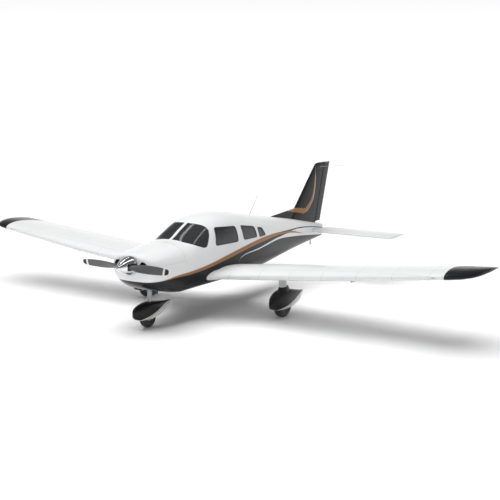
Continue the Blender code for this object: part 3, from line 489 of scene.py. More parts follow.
# %% The livery's edges, as (station, height) points
CHARCOAL_TOP = (
    (0.0, 0.60), (2.80, 0.90), (2.90, 0.982), (3.60, 1.030), (4.32, 1.080), (4.60, 1.083), (5.34, 1.024),
    (6.36, 0.908), (6.98, 0.830),
)
LINE_TOP = (
    (0.0, 0.60), (2.80, 0.90), (2.90, 0.992), (3.60, 1.054), (4.32, 1.115), (4.60, 1.127), (5.00, 1.134),
    (5.34, 1.105), (5.87, 1.009), (6.98, 0.830),
)
BRONZE_FOOT = (
    (0.0, 0.895), (0.56, 0.896), (0.76, 0.903), (0.91, 0.910), (1.36, 0.914), (1.74, 0.937), (2.25, 0.995),
    (2.71, 1.053), (3.28, 1.118), (4.06, 1.160), (4.58, 1.163), (5.09, 1.132), (5.87, 1.009), (6.98, 0.830),
)
BRONZE_TOP = (
    (0.0, 0.895), (0.56, 0.897), (0.76, 0.918), (0.91, 0.942), (1.36, 0.966), (1.74, 0.999), (2.06, 1.039),
    (2.40, 1.092), (2.96, 1.166), (3.58, 1.222), (4.07, 1.232), (4.70, 1.205), (5.11, 1.172), (5.50, 1.100),
    (5.87, 1.012), (6.98, 0.831),
)
BAND_FOOT = (
    (0.0, 1.24), (4.10, 1.233), (4.70, 1.200), (5.10, 1.165), (5.63, 1.147), (6.37, 1.075), (6.98, 0.972),
)
BAND_TOP = (
    (0.0, 1.24), (4.10, 1.234), (4.70, 1.212), (5.11, 1.192), (5.65, 1.170), (6.38, 1.092), (6.98, 0.992),
)


def fuselage_livery():
    finish = Finish("fuselage_livery")
    station, paint = finish.station(), CHARCOAL
    for points, colour in (
        (CHARCOAL_TOP, WHITE), (LINE_TOP, CHARCOAL), (BRONZE_FOOT, BRONZE), (BRONZE_TOP, WHITE),
        (BAND_FOOT, CHARCOAL), (BAND_TOP, WHITE),
    ):
        edge = finish.curve(station, points, 0.0, 6.98, 2.0)
        paint = finish.blend(finish.above(finish.z, edge, 0.004), paint, colour)
    return enamel(finish, paint)


LIVERY = fuselage_livery()
print("Fuselage livery has", len(LIVERY.node_tree.nodes), "nodes")


# %% [markdown]
# The fin is charcoal with a bronze wedge at its foot that sweeps up into a narrow curl with a light
# edge. The wedge is bounded by two heights that change with station, and the curl by two stations that
# change with height.

# %% The fin's finish
WEDGE_FOOT = ((5.40, 1.53), (5.49, 1.513), (6.14, 1.413), (6.40, 1.40))
WEDGE_TOP = ((5.40, 1.50), (5.49, 1.515), (5.67, 1.558), (6.00, 1.530), (6.14, 1.512), (6.40, 1.50))
WEDGE_END = 6.16
BRONZE_LOW = 1.405
CURL_EDGE = (
    (1.40, 6.08), (1.433, 6.234), (1.466, 6.299), (1.602, 6.467), (1.736, 6.562), (1.897, 6.611),
    (2.154, 6.641), (2.30, 6.650), (2.50, 6.650),
)
CURL_WIDTH = (
    (1.40, 0.02), (1.45, 0.19), (1.55, 0.17), (1.70, 0.10), (1.90, 0.065), (2.15, 0.035), (2.26, 0.0),
    (2.50, 0.0),
)
CURL_RIM = 0.018


def fin_livery():
    finish = Finish("fin_livery")
    station, height = finish.station(), finish.z
    foot, top = (finish.curve(station, points, 5.4, 6.4, 2.0) for points in (WEDGE_FOOT, WEDGE_TOP))
    wedge = finish.times(
        finish.above(height, foot, 0.005), finish.above(top, height, 0.005),
        finish.above(WEDGE_END, station, 0.02),
    )
    edge = finish.curve(height, CURL_EDGE, 1.4, 2.5, 8.0)
    width = finish.curve(height, CURL_WIDTH, 1.4, 2.5, 1.0)
    ahead = finish.above(edge, station, 0.004)
    curl = finish.times(ahead, finish.above(station, finish.minus(edge, width), 0.03))
    bronze = finish.times(finish.maths("MAXIMUM", wedge, curl), finish.above(height, BRONZE_LOW, 0.005))
    rim = finish.times(
        ahead, finish.above(station, finish.minus(edge, CURL_RIM), 0.006),
        finish.above(height, 1.41, 0.01), finish.above(2.2, height, 0.5),
    )
    paint = finish.blend(bronze, CHARCOAL, BRONZE)
    return enamel(finish, finish.blend(rim, paint, CURL_LIGHT))


FIN_PAINT = fin_livery()
print("Fin livery has", len(FIN_PAINT.node_tree.nodes), "nodes")


# %% [markdown]
# Wings and tailplane are white, built from sheets that lap at the ribs. Fine seam lines along the ribs
# and spars and a little flow dirt give them their scale. The tips are black past a slanted edge.

# %% Wing and tailplane finish
RIB_PITCH = 0.62
SPAR_STATIONS = (2.13, 2.62, 3.12)
LINE_HALF_WIDTH = 0.0022
TIP_PAINT_X = 4.89
TIP_PAINT_SLANT = 0.02


def wing_livery():
    finish = Finish("wing_livery")
    span, station = finish.maths("ABSOLUTE", finish.x), finish.station()

    def line_near(value, spot):
        gap = finish.maths("ABSOLUTE", finish.minus(value, spot))
        return finish.above(LINE_HALF_WIDTH, gap, LINE_HALF_WIDTH)

    bay = finish.times(finish.maths("FRACT", finish.maths("DIVIDE", span, RIB_PITCH)), RIB_PITCH)
    seams = line_near(bay, RIB_PITCH / 2)
    for spot in SPAR_STATIONS:
        seams = finish.maths("MAXIMUM", seams, line_near(station, spot))
    slant = finish.times(TIP_PAINT_SLANT, finish.minus(station, SPAR_STATIONS[0]))
    paint = finish.blend(finish.times(finish.noise(1.1, 3.0), 0.10), WHITE, FLOW_DIRT)
    paint = finish.blend(finish.times(seams, 0.55), paint, SEAM_GREY)
    black = finish.above(span, finish.minus(TIP_PAINT_X, slant), 0.004)
    return enamel(finish, finish.blend(black, paint, CHARCOAL), 0.05)


WING_PAINT = wing_livery()
print("Wing seams every", RIB_PITCH, "m")


# %% [markdown]
# The wheel fairings are charcoal on top and white below, with two thin stripes of bronze and brown under
# the charcoal's foot, which rises towards the tail.

# %% Fairing finish
STRIPE_BELOW = 0.007
GAP_BELOW = 0.026
SECOND_BELOW = 0.034


def fairing_livery(name, front, length, rows):
    """rows are (share of the length, height of the charcoal's foot)."""
    finish = Finish(name)
    rows = [(front + length * share, height) for share, height in rows]
    foot = finish.curve(finish.station(), rows, front, front + length, 1.0)
    paint = WHITE
    for below, colour in (
        (SECOND_BELOW, STRIPE_BROWN), (GAP_BELOW, WHITE), (STRIPE_BELOW, BRONZE), (0.0, CHARCOAL),
    ):
        paint = finish.blend(finish.above(finish.z, finish.minus(foot, below), 0.003), paint, colour)
    return enamel(finish, paint)


MAIN_FAIRING_PAINT = fairing_livery(
    "main_fairing_livery", 2.33, 1.13,
    ((0.0, 0.17), (0.17, 0.212), (0.31, 0.240), (0.48, 0.290), (0.68, 0.352), (0.87, 0.383), (1.0, 0.392)),
)
NOSE_FAIRING_PAINT = fairing_livery(
    "nose_fairing_livery", 0.41, 1.02,
    ((0.0, 0.16), (0.17, 0.205), (0.31, 0.235), (0.48, 0.278), (0.68, 0.336), (0.87, 0.366), (1.0, 0.374)),
)
print("Two fairing liveries")


# %% [markdown]
# The other finishes are plainer: bare and polished metal with fine brushing, rubber with a dusty sheen,
# leather with its grain, dark moulded trim, and tinted acrylic for the windows.

# %% Metals, rubber, leather, trim and glass
def brushed(name, colour, roughness, metallic=1.0, grain=90.0, bump=0.15, depth=0.0006):
    finish = Finish(name, Metallic=metallic)
    stretch = finish.node("Mapping", Vector=finish.place, Scale=(1.0, 0.12, 1.0)).outputs[0]
    streaks = finish.node("TexNoise", Vector=stretch, Scale=grain, Detail=4.0).outputs[0]
    worn = finish.mottled(colour, 6.0, 0.86, 1.1)
    finish.set(Base_Color=worn, Roughness=finish.ramp(streaks, *roughness))
    finish.bump(streaks, bump, depth)
    return finish.material


def grained(name, colour, roughness, scale, depth, sheen=0.0):
    finish = Finish(name, Sheen_Weight=sheen)
    cells = finish.node("TexVoronoi", Vector=finish.place, Scale=scale)
    cells.feature = "SMOOTH_F1"
    tone = finish.mottled(colour, 7.0, 0.8, 1.15)
    finish.set(Base_Color=tone, Roughness=finish.ramp(finish.noise(30.0, 3.0), *roughness))
    finish.bump(cells.outputs["Distance"], 0.35, depth)
    return finish.material


def tinted(name):
    finish = Finish(name, IOR=1.49)
    haze = finish.noise(1.3, 3.0)
    finish.set(Base_Color=finish.blend(haze, (0.016, 0.018, 0.02), (0.06, 0.064, 0.068)))
    finish.set(Alpha=finish.ramp(haze, 0.76, 0.84))
    finish.set(Roughness=finish.ramp(finish.noise(14.0, 3.0), 0.02, 0.07))
    return finish.material


STEEL = brushed("bare_steel", (0.52, 0.53, 0.55), (0.25, 0.45))
CHROME = brushed("polished_spinner", (0.74, 0.75, 0.77), (0.03, 0.08), grain=11.0, bump=0.5, depth=0.012)
RIM_METAL = brushed("rim_metal", (0.62, 0.63, 0.65), (0.25, 0.4))
GREY_PAINT = brushed("grey_paint", (0.44, 0.45, 0.46), (0.3, 0.42), metallic=0.0, bump=0.05)
IRON = brushed("engine_metal", (0.10, 0.10, 0.105), (0.5, 0.75), metallic=0.6, bump=0.4)
RUBBER = grained("tyre_rubber", (0.018, 0.018, 0.019), (0.62, 0.82), 260.0, 0.0006, 0.2)
LEATHER = grained("seat_leather", (0.15, 0.137, 0.12), (0.42, 0.6), 420.0, 0.0008)
TRIM = grained("cabin_trim", (0.035, 0.035, 0.038), (0.6, 0.8), 700.0, 0.0004)
LINING = grained("cabin_lining", (0.13, 0.127, 0.12), (0.7, 0.85), 350.0, 0.0005)
SEAL = grained("window_seal", (0.03, 0.03, 0.032), (0.5, 0.7), 300.0, 0.0003)
GLASS = tinted("tinted_glass")
print("Finishes:", len(bpy.data.materials))


# %% [markdown]
# The camera stands ahead of the left wing, a little above it. It is set first, because everything after
# it is judged through it. The floor is a large pale disc.

# %% Camera and floor
CAMERA_PLACE = (10.7116, -15.9998, 4.2964)
CAMERA_AZIMUTH = math.radians(33.161)
CAMERA_ELEVATION = math.radians(9.861)
LENS = 71.37

camera_data = bpy.data.cameras.new("camera")
camera_data.lens = LENS
camera_data.sensor_width = 36.0
camera_data.clip_end = 400.0
camera = placed("camera", camera_data)
camera.location = CAMERA_PLACE
camera.rotation_euler = (math.pi / 2 - CAMERA_ELEVATION, 0.0, CAMERA_AZIMUTH)
bpy.context.scene.camera = camera

floor_finish = Finish("studio_floor", Roughness=0.9, Specular_IOR_Level=0.0)
floor_tone = floor_finish.blend(floor_finish.noise(0.3, 2.0), (0.985, 0.985, 0.985), (1.0, 1.0, 1.0))
floor_finish.set(Base_Color=floor_tone)
floor_mesh = bmesh.new()
bmesh.ops.create_circle(floor_mesh, cap_ends=True, segments=96, radius=150.0)
floor = stand_in(floor_mesh, "studio_floor")
floor.data.materials.append(floor_finish.material)
print("Camera", [round(value, 2) for value in CAMERA_PLACE], "lens", LENS)


# %% [markdown]
# A white room lights the aircraft. It is bright at the horizon and greyer overhead, so that chrome and
# glass have something to show, and a very soft sun lays a pale shadow under the wings. Two long tubes
# overhead draw bright streaks on polished metal.

# %% Lights
SUN_STRENGTH = 2.75
SUN_TILT = (-0.20, 0.04, 1.0)
TUBE_HEIGHT = 7.0

world = bpy.data.worlds.new("studio")
world.use_nodes = True
studio = world.node_tree.nodes
direction = studio.new("ShaderNodeSeparateXYZ")
fade = studio.new("ShaderNodeMapRange")
for label, value in (("From Min", 0.05), ("From Max", 0.45), ("To Min", 1.02), ("To Max", 0.15)):
    fade.inputs[label].default_value = value
world_link = world.node_tree.links.new
world_link(studio.new("ShaderNodeTexCoord").outputs["Generated"], direction.inputs[0])
world_link(direction.outputs["Z"], fade.inputs["Value"])
world_link(fade.outputs[0], studio["Background"].inputs["Strength"])
studio["Background"].inputs["Color"].default_value = (1.0, 1.0, 1.0, 1.0)
bpy.context.scene.world = world
bpy.context.scene.view_settings.view_transform = "Standard"

sun_data = bpy.data.lights.new("soft_sun", "SUN")
sun_data.energy = SUN_STRENGTH
sun_data.angle = math.radians(70)
sun = placed("soft_sun", sun_data)
sun.rotation_euler = Vector(SUN_TILT).to_track_quat("Z", "Y").to_euler()
sun.visible_glossy = False

for number, tube_x in enumerate((2.0, -3.0)):
    tube_data = bpy.data.lights.new(f"tube_{number}", "AREA")
    tube_data.shape = "RECTANGLE"
    tube_data.size, tube_data.size_y = 0.7, 9.0
    tube_data.energy = 80.0
    placed(f"tube_{number}", tube_data).location = (tube_x, -3.0, TUBE_HEIGHT)
print("One sun and two tubes")


# %% [markdown]
# The engine cowl is a pair of moulded halves that meet at the thrust line. It is lofted from the front
# ring to the firewall and back along its inside, which makes one closed wall, and then the spinner hole,
# the two cooling inlets, the outlet and the nose leg's hole are cut. Its halves are hollow, so the
# inlets look dark.

# %% Cowl
SPINNER_HOLE = 0.12
INLET_X = 0.272
INLET_RADIUS = 0.082
STRUT_RAKE = 0.136
LIP_STATIONS = [COWL_FRONT, 0.356, 0.362, 0.372, 0.386, 0.404, 0.430, 0.465, 0.51]


def strut_point(height):
    """A point on the nose leg's leaning centre line."""
    return Vector((0.0, at(0.86 - (0.62 - height) * STRUT_RAKE), height))


def make_cowl():
    places = LIP_STATIONS + evenly(0.56, FIREWALL, WALL_STEP)
    outer = [fuselage_section(place) for place in places]
    share = (FIREWALL - COWL_FRONT - COWL_WALL) / (FIREWALL - COWL_FRONT)
    inner = [fuselage_section(FIREWALL - (FIREWALL - place) * share, COWL_WALL) for place in reversed(places)]
    ahead, behind = at(0.2), at(FIREWALL + 0.1)
    holes = [
        rod((x, ahead, THRUST_LINE), (x, at(0.6), THRUST_LINE), radius, 48)
        for x, radius in ((0, SPINNER_HOLE), (INLET_X, INLET_RADIUS), (-INLET_X, INLET_RADIUS))
    ]
    holes.append(box((-0.20, at(0.95), 0.5), (0.20, behind, 0.72)))
    holes.append(rod(strut_point(0.58), strut_point(0.82), 0.058))
    whole = carved(loft(outer + inner), joined(*holes))
    lower = carved(whole.copy(), box((-1, ahead, 0.0), (1, behind, THRUST_LINE - SEAM)), "INTERSECT")
    upper = carved(whole, box((-1, ahead, THRUST_LINE + SEAM), (1, behind, 2.0)), "INTERSECT")
    for name, half in (("upper", upper), ("lower", lower)):
        piece(f"cowl_{name}", half, LIVERY, [f"cowling_{name}"])


make_cowl()
print("Cowl from station", COWL_FRONT, "to", FIREWALL)


# %% [markdown]
# The cabin is one shell with the windscreen, three windows a side and two doors cut from it. The same
# outlines make the panes and the doors, so a pane always fits its hole. A cutter runs from inside the
# cabin to beyond the skin, so that it opens one side only.

# %% Outlines in side view, as (station, height) corners
WINDSCREEN = (
    (1.455, 1.437), (1.600, 1.366), (1.720, 1.322), (1.795, 1.318), (1.838, 1.345), (1.965, 1.512),
    (2.012, 1.592), (2.012, 1.640), (1.988, 1.676), (1.956, 1.694), (1.938, 1.702), (1.938, 2.0),
    (1.455, 2.0),
)
FRONT_WINDOW = ((2.060, 1.314), (2.155, 1.625), (2.785, 1.578), (2.800, 1.292))
REAR_WINDOW = ((3.000, 1.295), (2.975, 1.565), (3.490, 1.480), (3.530, 1.278))
AFT_WINDOW = ((3.630, 1.262), (3.615, 1.448), (3.800, 1.418), (3.905, 1.262))
CABIN_DOOR = ((2.036, 0.910), (2.036, 1.690), (2.900, 1.690), (2.900, 0.910))
BAGGAGE_DOOR = ((3.320, 0.930), (3.320, 1.215), (3.800, 1.205), (3.800, 0.930))
WINDOW_ROUND = 0.055
AFT_WINDOW_ROUND = 0.035
CABIN_DOOR_ROUND = 0.10
BAGGAGE_DOOR_ROUND = 0.05
DOOR_GAP = 0.006
POST = 0.030
INSIDE, BEYOND = 0.2, 0.9
GLASS_INSET = 0.004
GLASS_THICKNESS = 0.006
# Name, outline, where its cutter starts, corner radius, first and last station of its pane
WINDOWS = (
    ("windscreen", WINDSCREEN, POST, 0.0, 1.40, 2.06),
    ("front_window", FRONT_WINDOW, INSIDE, WINDOW_ROUND, 2.0, 2.9),
    ("rear_window", REAR_WINDOW, INSIDE, WINDOW_ROUND, 2.9, 3.6),
    ("aft_window", AFT_WINDOW, INSIDE, AFT_WINDOW_ROUND, 3.55, 3.95),
)
# Body, outline, corner radius, first and last station
DOORS = (
    ("cabin_door", CABIN_DOOR, CABIN_DOOR_ROUND, 1.9, 3.05),
    ("baggage_door", BAGGAGE_DOOR, BAGGAGE_DOOR_ROUND, 3.2, 3.9),
)


def carrier(name, side):
    """The front window on the right is in the cabin door."""
    return "cabin_door" if name == "front_window" and side == -1 else "airframe"


def grown(outline, amount):
    """A door's opening: its four-cornered outline, larger by the amount on every side."""
    middle = Vector((sum(p[0] for p in outline), sum(p[1] for p in outline))) / len(outline)
    return [
        (s + math.copysign(amount, s - middle.x), z + math.copysign(amount, z - middle.y)) for s, z in outline
    ]


def make_shell():
    cutters = [prism(WINDSCREEN, side * POST, side * BEYOND) for side, _ in SIDES]
    cutters += [
        prism(REAR_WINDOW, -BEYOND, BEYOND, WINDOW_ROUND),
        prism(AFT_WINDOW, -BEYOND, BEYOND, AFT_WINDOW_ROUND),
        prism(FRONT_WINDOW, INSIDE, BEYOND, WINDOW_ROUND),
    ]
    cutters += [prism(grown(outline, DOOR_GAP), -BEYOND, -INSIDE, corner) for _, outline, corner, *_ in DOORS]
    shell = carved(wall(CABIN_FRONT, CABIN_REAR, 0.0, CABIN_WALL), joined(*cutters))
    piece("cabin_skin", shell, LIVERY, ["cabin_shell"])


def make_panes():
    for side, word in SIDES:
        for name, outline, start, corner, first, last in WINDOWS:
            pane = wall(first, last, GLASS_INSET, GLASS_THICKNESS)
            pane = carved(pane, prism(outline, side * start, side * BEYOND, corner), "INTERSECT")
            nodes = [f"{name}_{word}"]
            piece(f"{name}_pane_{word}", pane, GLASS, nodes, carrier(name, side))


make_shell()
make_panes()
print("Cabin skin and eight panes")


# %% [markdown]
# Doors are pieces of the same wall, cut by their own outlines. The cabin door keeps the front window in
# it.

# %% Doors
for name, outline, corner, first, last in DOORS:
    door = carved(wall(first, last, 0.0, CABIN_WALL), prism(outline, -BEYOND, -INSIDE, corner), "INTERSECT")
    if name == "cabin_door":
        door = carved(door, prism(FRONT_WINDOW, -BEYOND, -INSIDE, WINDOW_ROUND))
    piece(f"{name}_skin", door, LIVERY, [name], name)
print("Two doors, with a gap of", DOOR_GAP, "m round them")


# %% [markdown]
# The tail cone tapers to the rudder post. It is lofted solid, because nothing shows of its inside, and
# bored for the tailplane's axle.

# %% Tail cone
STABILATOR_PIVOT = (6.56, 0.985)


def pivot_rod(radius):
    station, height = STABILATOR_PIVOT
    return rod((-0.3, at(station), height), (0.3, at(station), height), radius)


tail_places = evenly(CABIN_REAR + 2 * CLEAR, 6.6, 0.06)
tail_places += evenly(6.66, TAIL_END - 0.03, 0.05) + [6.97, TAIL_END]
tail_cone = carved(loft([fuselage_section(place) for place in tail_places]), pivot_rod(0.032))
piece("tail_skin", tail_cone, LIVERY, ["tail_cone"])
print("Tail cone ends at station", TAIL_END)


# %% [markdown]
# Each row of these tables gives a wing's or tail's section at one span: where it starts, hinges and
# ends, how high it sits, how far it is turned and how thick it is.

# %% Wing and tail tables
# Span, leading edge, hinge line, trailing edge, height, incidence, thickness ratio
WING = (
    (0.42, 1.940, 3.220, 3.540, 0.755, 2.0, 0.140),
    (2.70, 1.940, 3.220, 3.540, 0.974, 2.0, 0.140),
    (4.95, 2.150, 3.075, 3.310, 1.190, 0.0, 0.140),
)
WING_TIP = (
    (4.9503, 2.150, 3.075, 3.310, 1.190, 0.0, 0.140),
    (5.1500, 2.190, 3.100, 3.290, 1.209, 0.0, 0.132),
    (5.2900, 2.300, 3.120, 3.282, 1.223, 0.0, 0.118),
    (5.3700, 2.470, 3.150, 3.268, 1.232, 0.0, 0.100),
    (5.4100, 2.760, 3.150, 3.235, 1.236, 0.0, 0.070),
)
ROOT_GLOVE = (
    (0.42, 1.700, 2.800, 3.000, 0.758, 2.0, 0.150),
    (0.98, 1.945, 2.800, 3.000, 0.809, 2.0, 0.125),
)
STABILATOR = (
    (0.125, 6.360, 6.985, 7.115, 0.985, 0.0, 0.100),
    (1.930, 6.360, 6.985, 7.115, 0.985, 0.0, 0.100),
    (1.968, 6.380, 6.985, 7.112, 0.985, 0.0, 0.078),
    (1.980, 6.420, 6.985, 7.100, 0.985, 0.0, 0.050),
)
# Height, leading edge, hinge line, trailing edge, side offset, incidence, thickness ratio
FIN = (
    (1.060, 5.300, 6.625, 6.860, 0.0, 0.0, 0.078),
    (2.385, 6.612, 7.030, 7.300, 0.0, 0.0, 0.088),
    (2.435, 6.675, 7.045, 7.320, 0.0, 0.0, 0.070),
    (2.452, 6.760, 7.050, 7.318, 0.0, 0.0, 0.040),
)
WING_CAMBER = 0.02
COVE_GAP = 0.0075
RUNNING_GAP = 0.006
FLAP_SPAN = (0.606, 2.736)
AILERON_SPAN = (2.750, 4.936)
TAB_SPAN = (0.140, 1.200)
RUDDER_SPAN = (1.165, 2.438)
ROOT_RIB = 0.600
FIN_FOOT = 1.10
FIN_TOP = 2.4435
SECTION_POINTS = 72
print("The wing's chord is", WING[0][3] - WING[0][1], "m at the root")


# %% [markdown]
# A wing section follows the four-digit aerofoil law: a thickness curve wrapped round a slightly arched
# centre line. Points are spaced by cosine, close together at the nose where the curve is tight. A loft
# joins the sections of a table's rows. The same law, cut short by an arc about the hinge, gives the
# control surfaces and the hollows in which they turn.

# %% Aerofoil sections
def thickness_at(f, ratio):
    curve = 0.2969 * math.sqrt(f) - 0.1260 * f - 0.3516 * f ** 2 + 0.2843 * f ** 3 - 0.1015 * f ** 4
    return 5 * ratio * curve


def camber_at(fraction, rise, crest=0.4):
    if fraction < crest:
        return rise / crest ** 2 * (2 * crest * fraction - fraction ** 2)
    return rise / (1 - crest) ** 2 * (1 - 2 * crest + 2 * crest * fraction - fraction ** 2)


def edge_point(row, fraction, side, rise):
    chord = row[3] - row[1]
    return (fraction * chord, chord * (camber_at(fraction, rise) + side * thickness_at(fraction, row[6])))


def hinge_of(row, rise):
    chord = row[3] - row[1]
    fraction = (row[2] - row[1]) / chord
    return (fraction * chord, chord * camber_at(fraction, rise)), chord * thickness_at(fraction, row[6])


def arc(centre, radius, count=20):
    """A half circle on the front of a hinge, from above it to below it."""
    turns = [math.pi * (0.5 + k / count) for k in range(count + 1)]
    return [(centre[0] + radius * math.cos(turn), centre[1] + radius * math.sin(turn)) for turn in turns]


def full_outline(row, rise):
    points = []
    for k in range(SECTION_POINTS):
        angle = 2 * math.pi * (k + 0.5) / SECTION_POINTS
        points.append(edge_point(row, (1 + math.cos(angle)) / 2, math.copysign(1, math.sin(angle)), rise))
    return points


def both_faces(row, rise, shares):
    """The section's lower face at these shares of its chord, and its upper face back again."""
    return [edge_point(row, s, -1, rise) for s in shares], [edge_point(row, s, 1, rise) for s in shares[::-1]]


def control_outline(row, rise):
    """A control surface: a round nose about its hinge, then the section to its trailing edge."""
    start = (row[2] - row[1]) / (row[3] - row[1])
    below, above = both_faces(row, rise, [start + (1 - start) * k / 8 for k in range(1, 9)])
    return arc(*hinge_of(row, rise)) + below + above


def cove_outline(row, rise, gap):
    """A section that stops at the hinge in a hollow arc, in which the control surface turns."""
    hinge, radius = hinge_of(row, rise)
    end = (row[2] - row[1]) / (row[3] - row[1])
    below, above = both_faces(row, rise, [end * (1 - math.cos(math.pi / 2 * k / 24)) for k in range(25)])
    return above + below[1:] + arc(hinge, radius + gap)[::-1][1:-1]


def bay_outline(row, rise, gap):
    """The space that a control surface needs, open towards the rear."""
    hinge, radius = hinge_of(row, rise)
    rear = hinge[0] + row[3] - row[2] + 0.08
    return arc(hinge, radius + gap) + [(rear, hinge[1] - 0.12), (rear, hinge[1] + 0.12)]


def row_at(table, span):
    for low, high in zip(table, table[1:]):
        if span <= high[0] or high is table[-1]:
            share = (span - low[0]) / (high[0] - low[0])
            return tuple(a + (b - a) * share for a, b in zip(low, high))


def rows_between(table, first, last):
    middle = [row for row in table if first + 0.002 < row[0] < last - 0.002]
    return [row_at(table, first)] + middle + [row_at(table, last)]


def wing_place(row, point, side):
    along, across = point
    turn = math.radians(row[5])
    y = at(row[1]) + along * math.cos(turn) + across * math.sin(turn)
    z = row[4] - along * math.sin(turn) + across * math.cos(turn)
    return Vector((side * row[0], y, z))


def fin_place(row, point, side):
    return Vector((point[1], at(row[1]) + point[0], row[0]))


def panel(rows, outline, rise, place, side=1, **more):
    return loft([[place(row, point, side) for point in outline(row, rise, **more)] for row in rows])


print("A section has", len(full_outline(WING[0], WING_CAMBER)), "points")


# %% [markdown]
# Each wing is a lofted section with the root glove faired into the cabin, less the space in which the
# flap and the aileron turn. Flap and aileron are lofted with round noses about their hinge lines. The
# tip is a quarter of an ellipse in plan.

# %% Wings, flaps, ailerons and tips
TIP_ROWS = 16


def make_wing(side, word):
    def surface(rows, outline, **more):
        return panel(rows, outline, WING_CAMBER, wing_place, side, **more)

    def skin(name, mesh, node, body="airframe"):
        piece(f"{name}_skin_{word}", mesh, WING_PAINT, [f"{node}_{word}"], body, sharp=30)

    wing = carved(surface(WING, full_outline), surface(ROOT_GLOVE, full_outline), "UNION")
    end = WING[-1][0]
    bay_rows = rows_between(WING, ROOT_RIB, end) + [row_at(WING, end + 0.05)]
    wing = carved(wing, surface(bay_rows, bay_outline, gap=COVE_GAP))
    body = loft([fuselage_section(place, 0.004) for place in evenly(CABIN_FRONT, CABIN_REAR, 0.1)])
    skin("wing", carved(wing, body), "wing")
    for kind, span in (("flap", FLAP_SPAN), ("aileron", AILERON_SPAN)):
        mesh = surface(rows_between(WING, *span), control_outline)
        skin(kind, mesh, kind, f"{kind}_{word}")
    first, last = WING_TIP[0][0], WING_TIP[-1][0]
    spans = [first + (last - first) * math.sin(math.pi / 2 * k / TIP_ROWS) for k in range(TIP_ROWS + 1)]
    tip = surface([row_at(WING_TIP, min(span, last)) for span in spans], full_outline)
    skin("tip", tip, "wing_tip")


for side, word in SIDES:
    make_wing(side, word)
print("Wings span", round(2 * WING_TIP[-1][0], 2), "m")


# %% [markdown]
# Fin, rudder and the all-moving tailplane use the same section law without camber. The fin's dorsal
# fillet is a thin blade that runs forward along the crown of the tail cone.

# %% Fin, rudder and tailplane
DORSAL = ((4.80, 1.455), (4.88, 1.478), (5.76, 1.535), (6.10, 1.620), (6.20, 1.180), (5.00, 1.320))
DORSAL_HALF_WIDTH = 0.022


def make_fin():
    fin = panel(rows_between(FIN, FIN_FOOT, FIN_TOP), cove_outline, 0.0, fin_place, gap=COVE_GAP)
    cap = panel(rows_between(FIN, FIN_TOP, FIN[-1][0]), full_outline, 0.0, fin_place)
    fin = joined(fin, cap, prism(DORSAL, -DORSAL_HALF_WIDTH, DORSAL_HALF_WIDTH))
    piece("fin_skin", fin, FIN_PAINT, ["fin"], sharp=30)
    rudder = panel(rows_between(FIN, *RUDDER_SPAN), control_outline, 0.0, fin_place)
    piece("rudder_skin", rudder, FIN_PAINT, ["rudder"], "rudder", sharp=30)


def make_tailplane():
    tail = pivot_rod(0.03)
    bay_rows = [row_at(STABILATOR, 0.11), row_at(STABILATOR, TAB_SPAN[1] + 0.007)]
    for side, word in SIDES:
        half = panel(STABILATOR, full_outline, 0.0, wing_place, side)
        bay = panel(bay_rows, bay_outline, 0.0, wing_place, side, gap=RUNNING_GAP)
        tail = carved(tail, carved(half, bay), "UNION")
        tab = panel(rows_between(STABILATOR, *TAB_SPAN), control_outline, 0.0, wing_place, side)
        nodes = [f"stabilator_tab_{word}"]
        piece(f"tab_skin_{word}", tab, WING_PAINT, nodes, "stabilator_tabs", sharp=30)
    piece("stabilator_skin", tail, WING_PAINT, ["stabilator"], "stabilator", sharp=30)


make_fin()
make_tailplane()
print("Fin top at", FIN[-1][0], "m")


# %% [markdown]
# The spinner is a polished cone with two notches for the blade roots. Each blade is a lofted section
# that twists from steep at the root to flat at the tip. The blades are grey with a white band and a
# black tip, which the finish reads from the distance to the hub.

# %% Propeller and spinner
SPINNER_LENGTH = 0.325
SPINNER_RADIUS = 0.165
SPINNER_POINT = (1.7, 0.8)
SPINNER_STEPS = 28
SPINNER_INSIDE = [(0.157, 0.0), (0.150, -0.05), (0.125, -0.13), (0.090, -0.19), (0.0, -0.19)]
PROPELLER_STATION = 0.205
BACKPLATE = 0.012
BAND_RADII = (0.815, 0.855)
BLADE_POINTS = 36
# Radius, chord, thickness, pitch angle
BLADE = (
    (0.050, 0.090, 0.070, 58), (0.150, 0.096, 0.056, 50), (0.280, 0.135, 0.030, 37),
    (0.450, 0.150, 0.021, 27), (0.650, 0.140, 0.015, 20), (0.820, 0.118, 0.011, 16),
    (0.900, 0.092, 0.009, 15), (0.930, 0.050, 0.006, 15),
)


def blade_finish():
    finish = Finish("propeller_grey", Metallic=0.35)
    reach = finish.maths("ABSOLUTE", finish.x)
    first, last = BAND_RADII
    band = finish.times(finish.above(reach, first, 0.002), finish.above(last, reach, 0.002))
    worn = finish.blend(finish.noise(8.0, 4.0), (0.085, 0.087, 0.09), (0.12, 0.122, 0.126))
    paint = finish.blend(finish.above(reach, last, 0.002), worn, (0.02, 0.02, 0.022))
    paint = finish.blend(band, paint, (0.74, 0.74, 0.74))
    finish.set(Base_Color=paint, Roughness=finish.ramp(finish.noise(40.0, 3.0), 0.34, 0.5))
    finish.bump(finish.noise(160.0, 2.0), 0.1, 0.0004)
    return finish.material


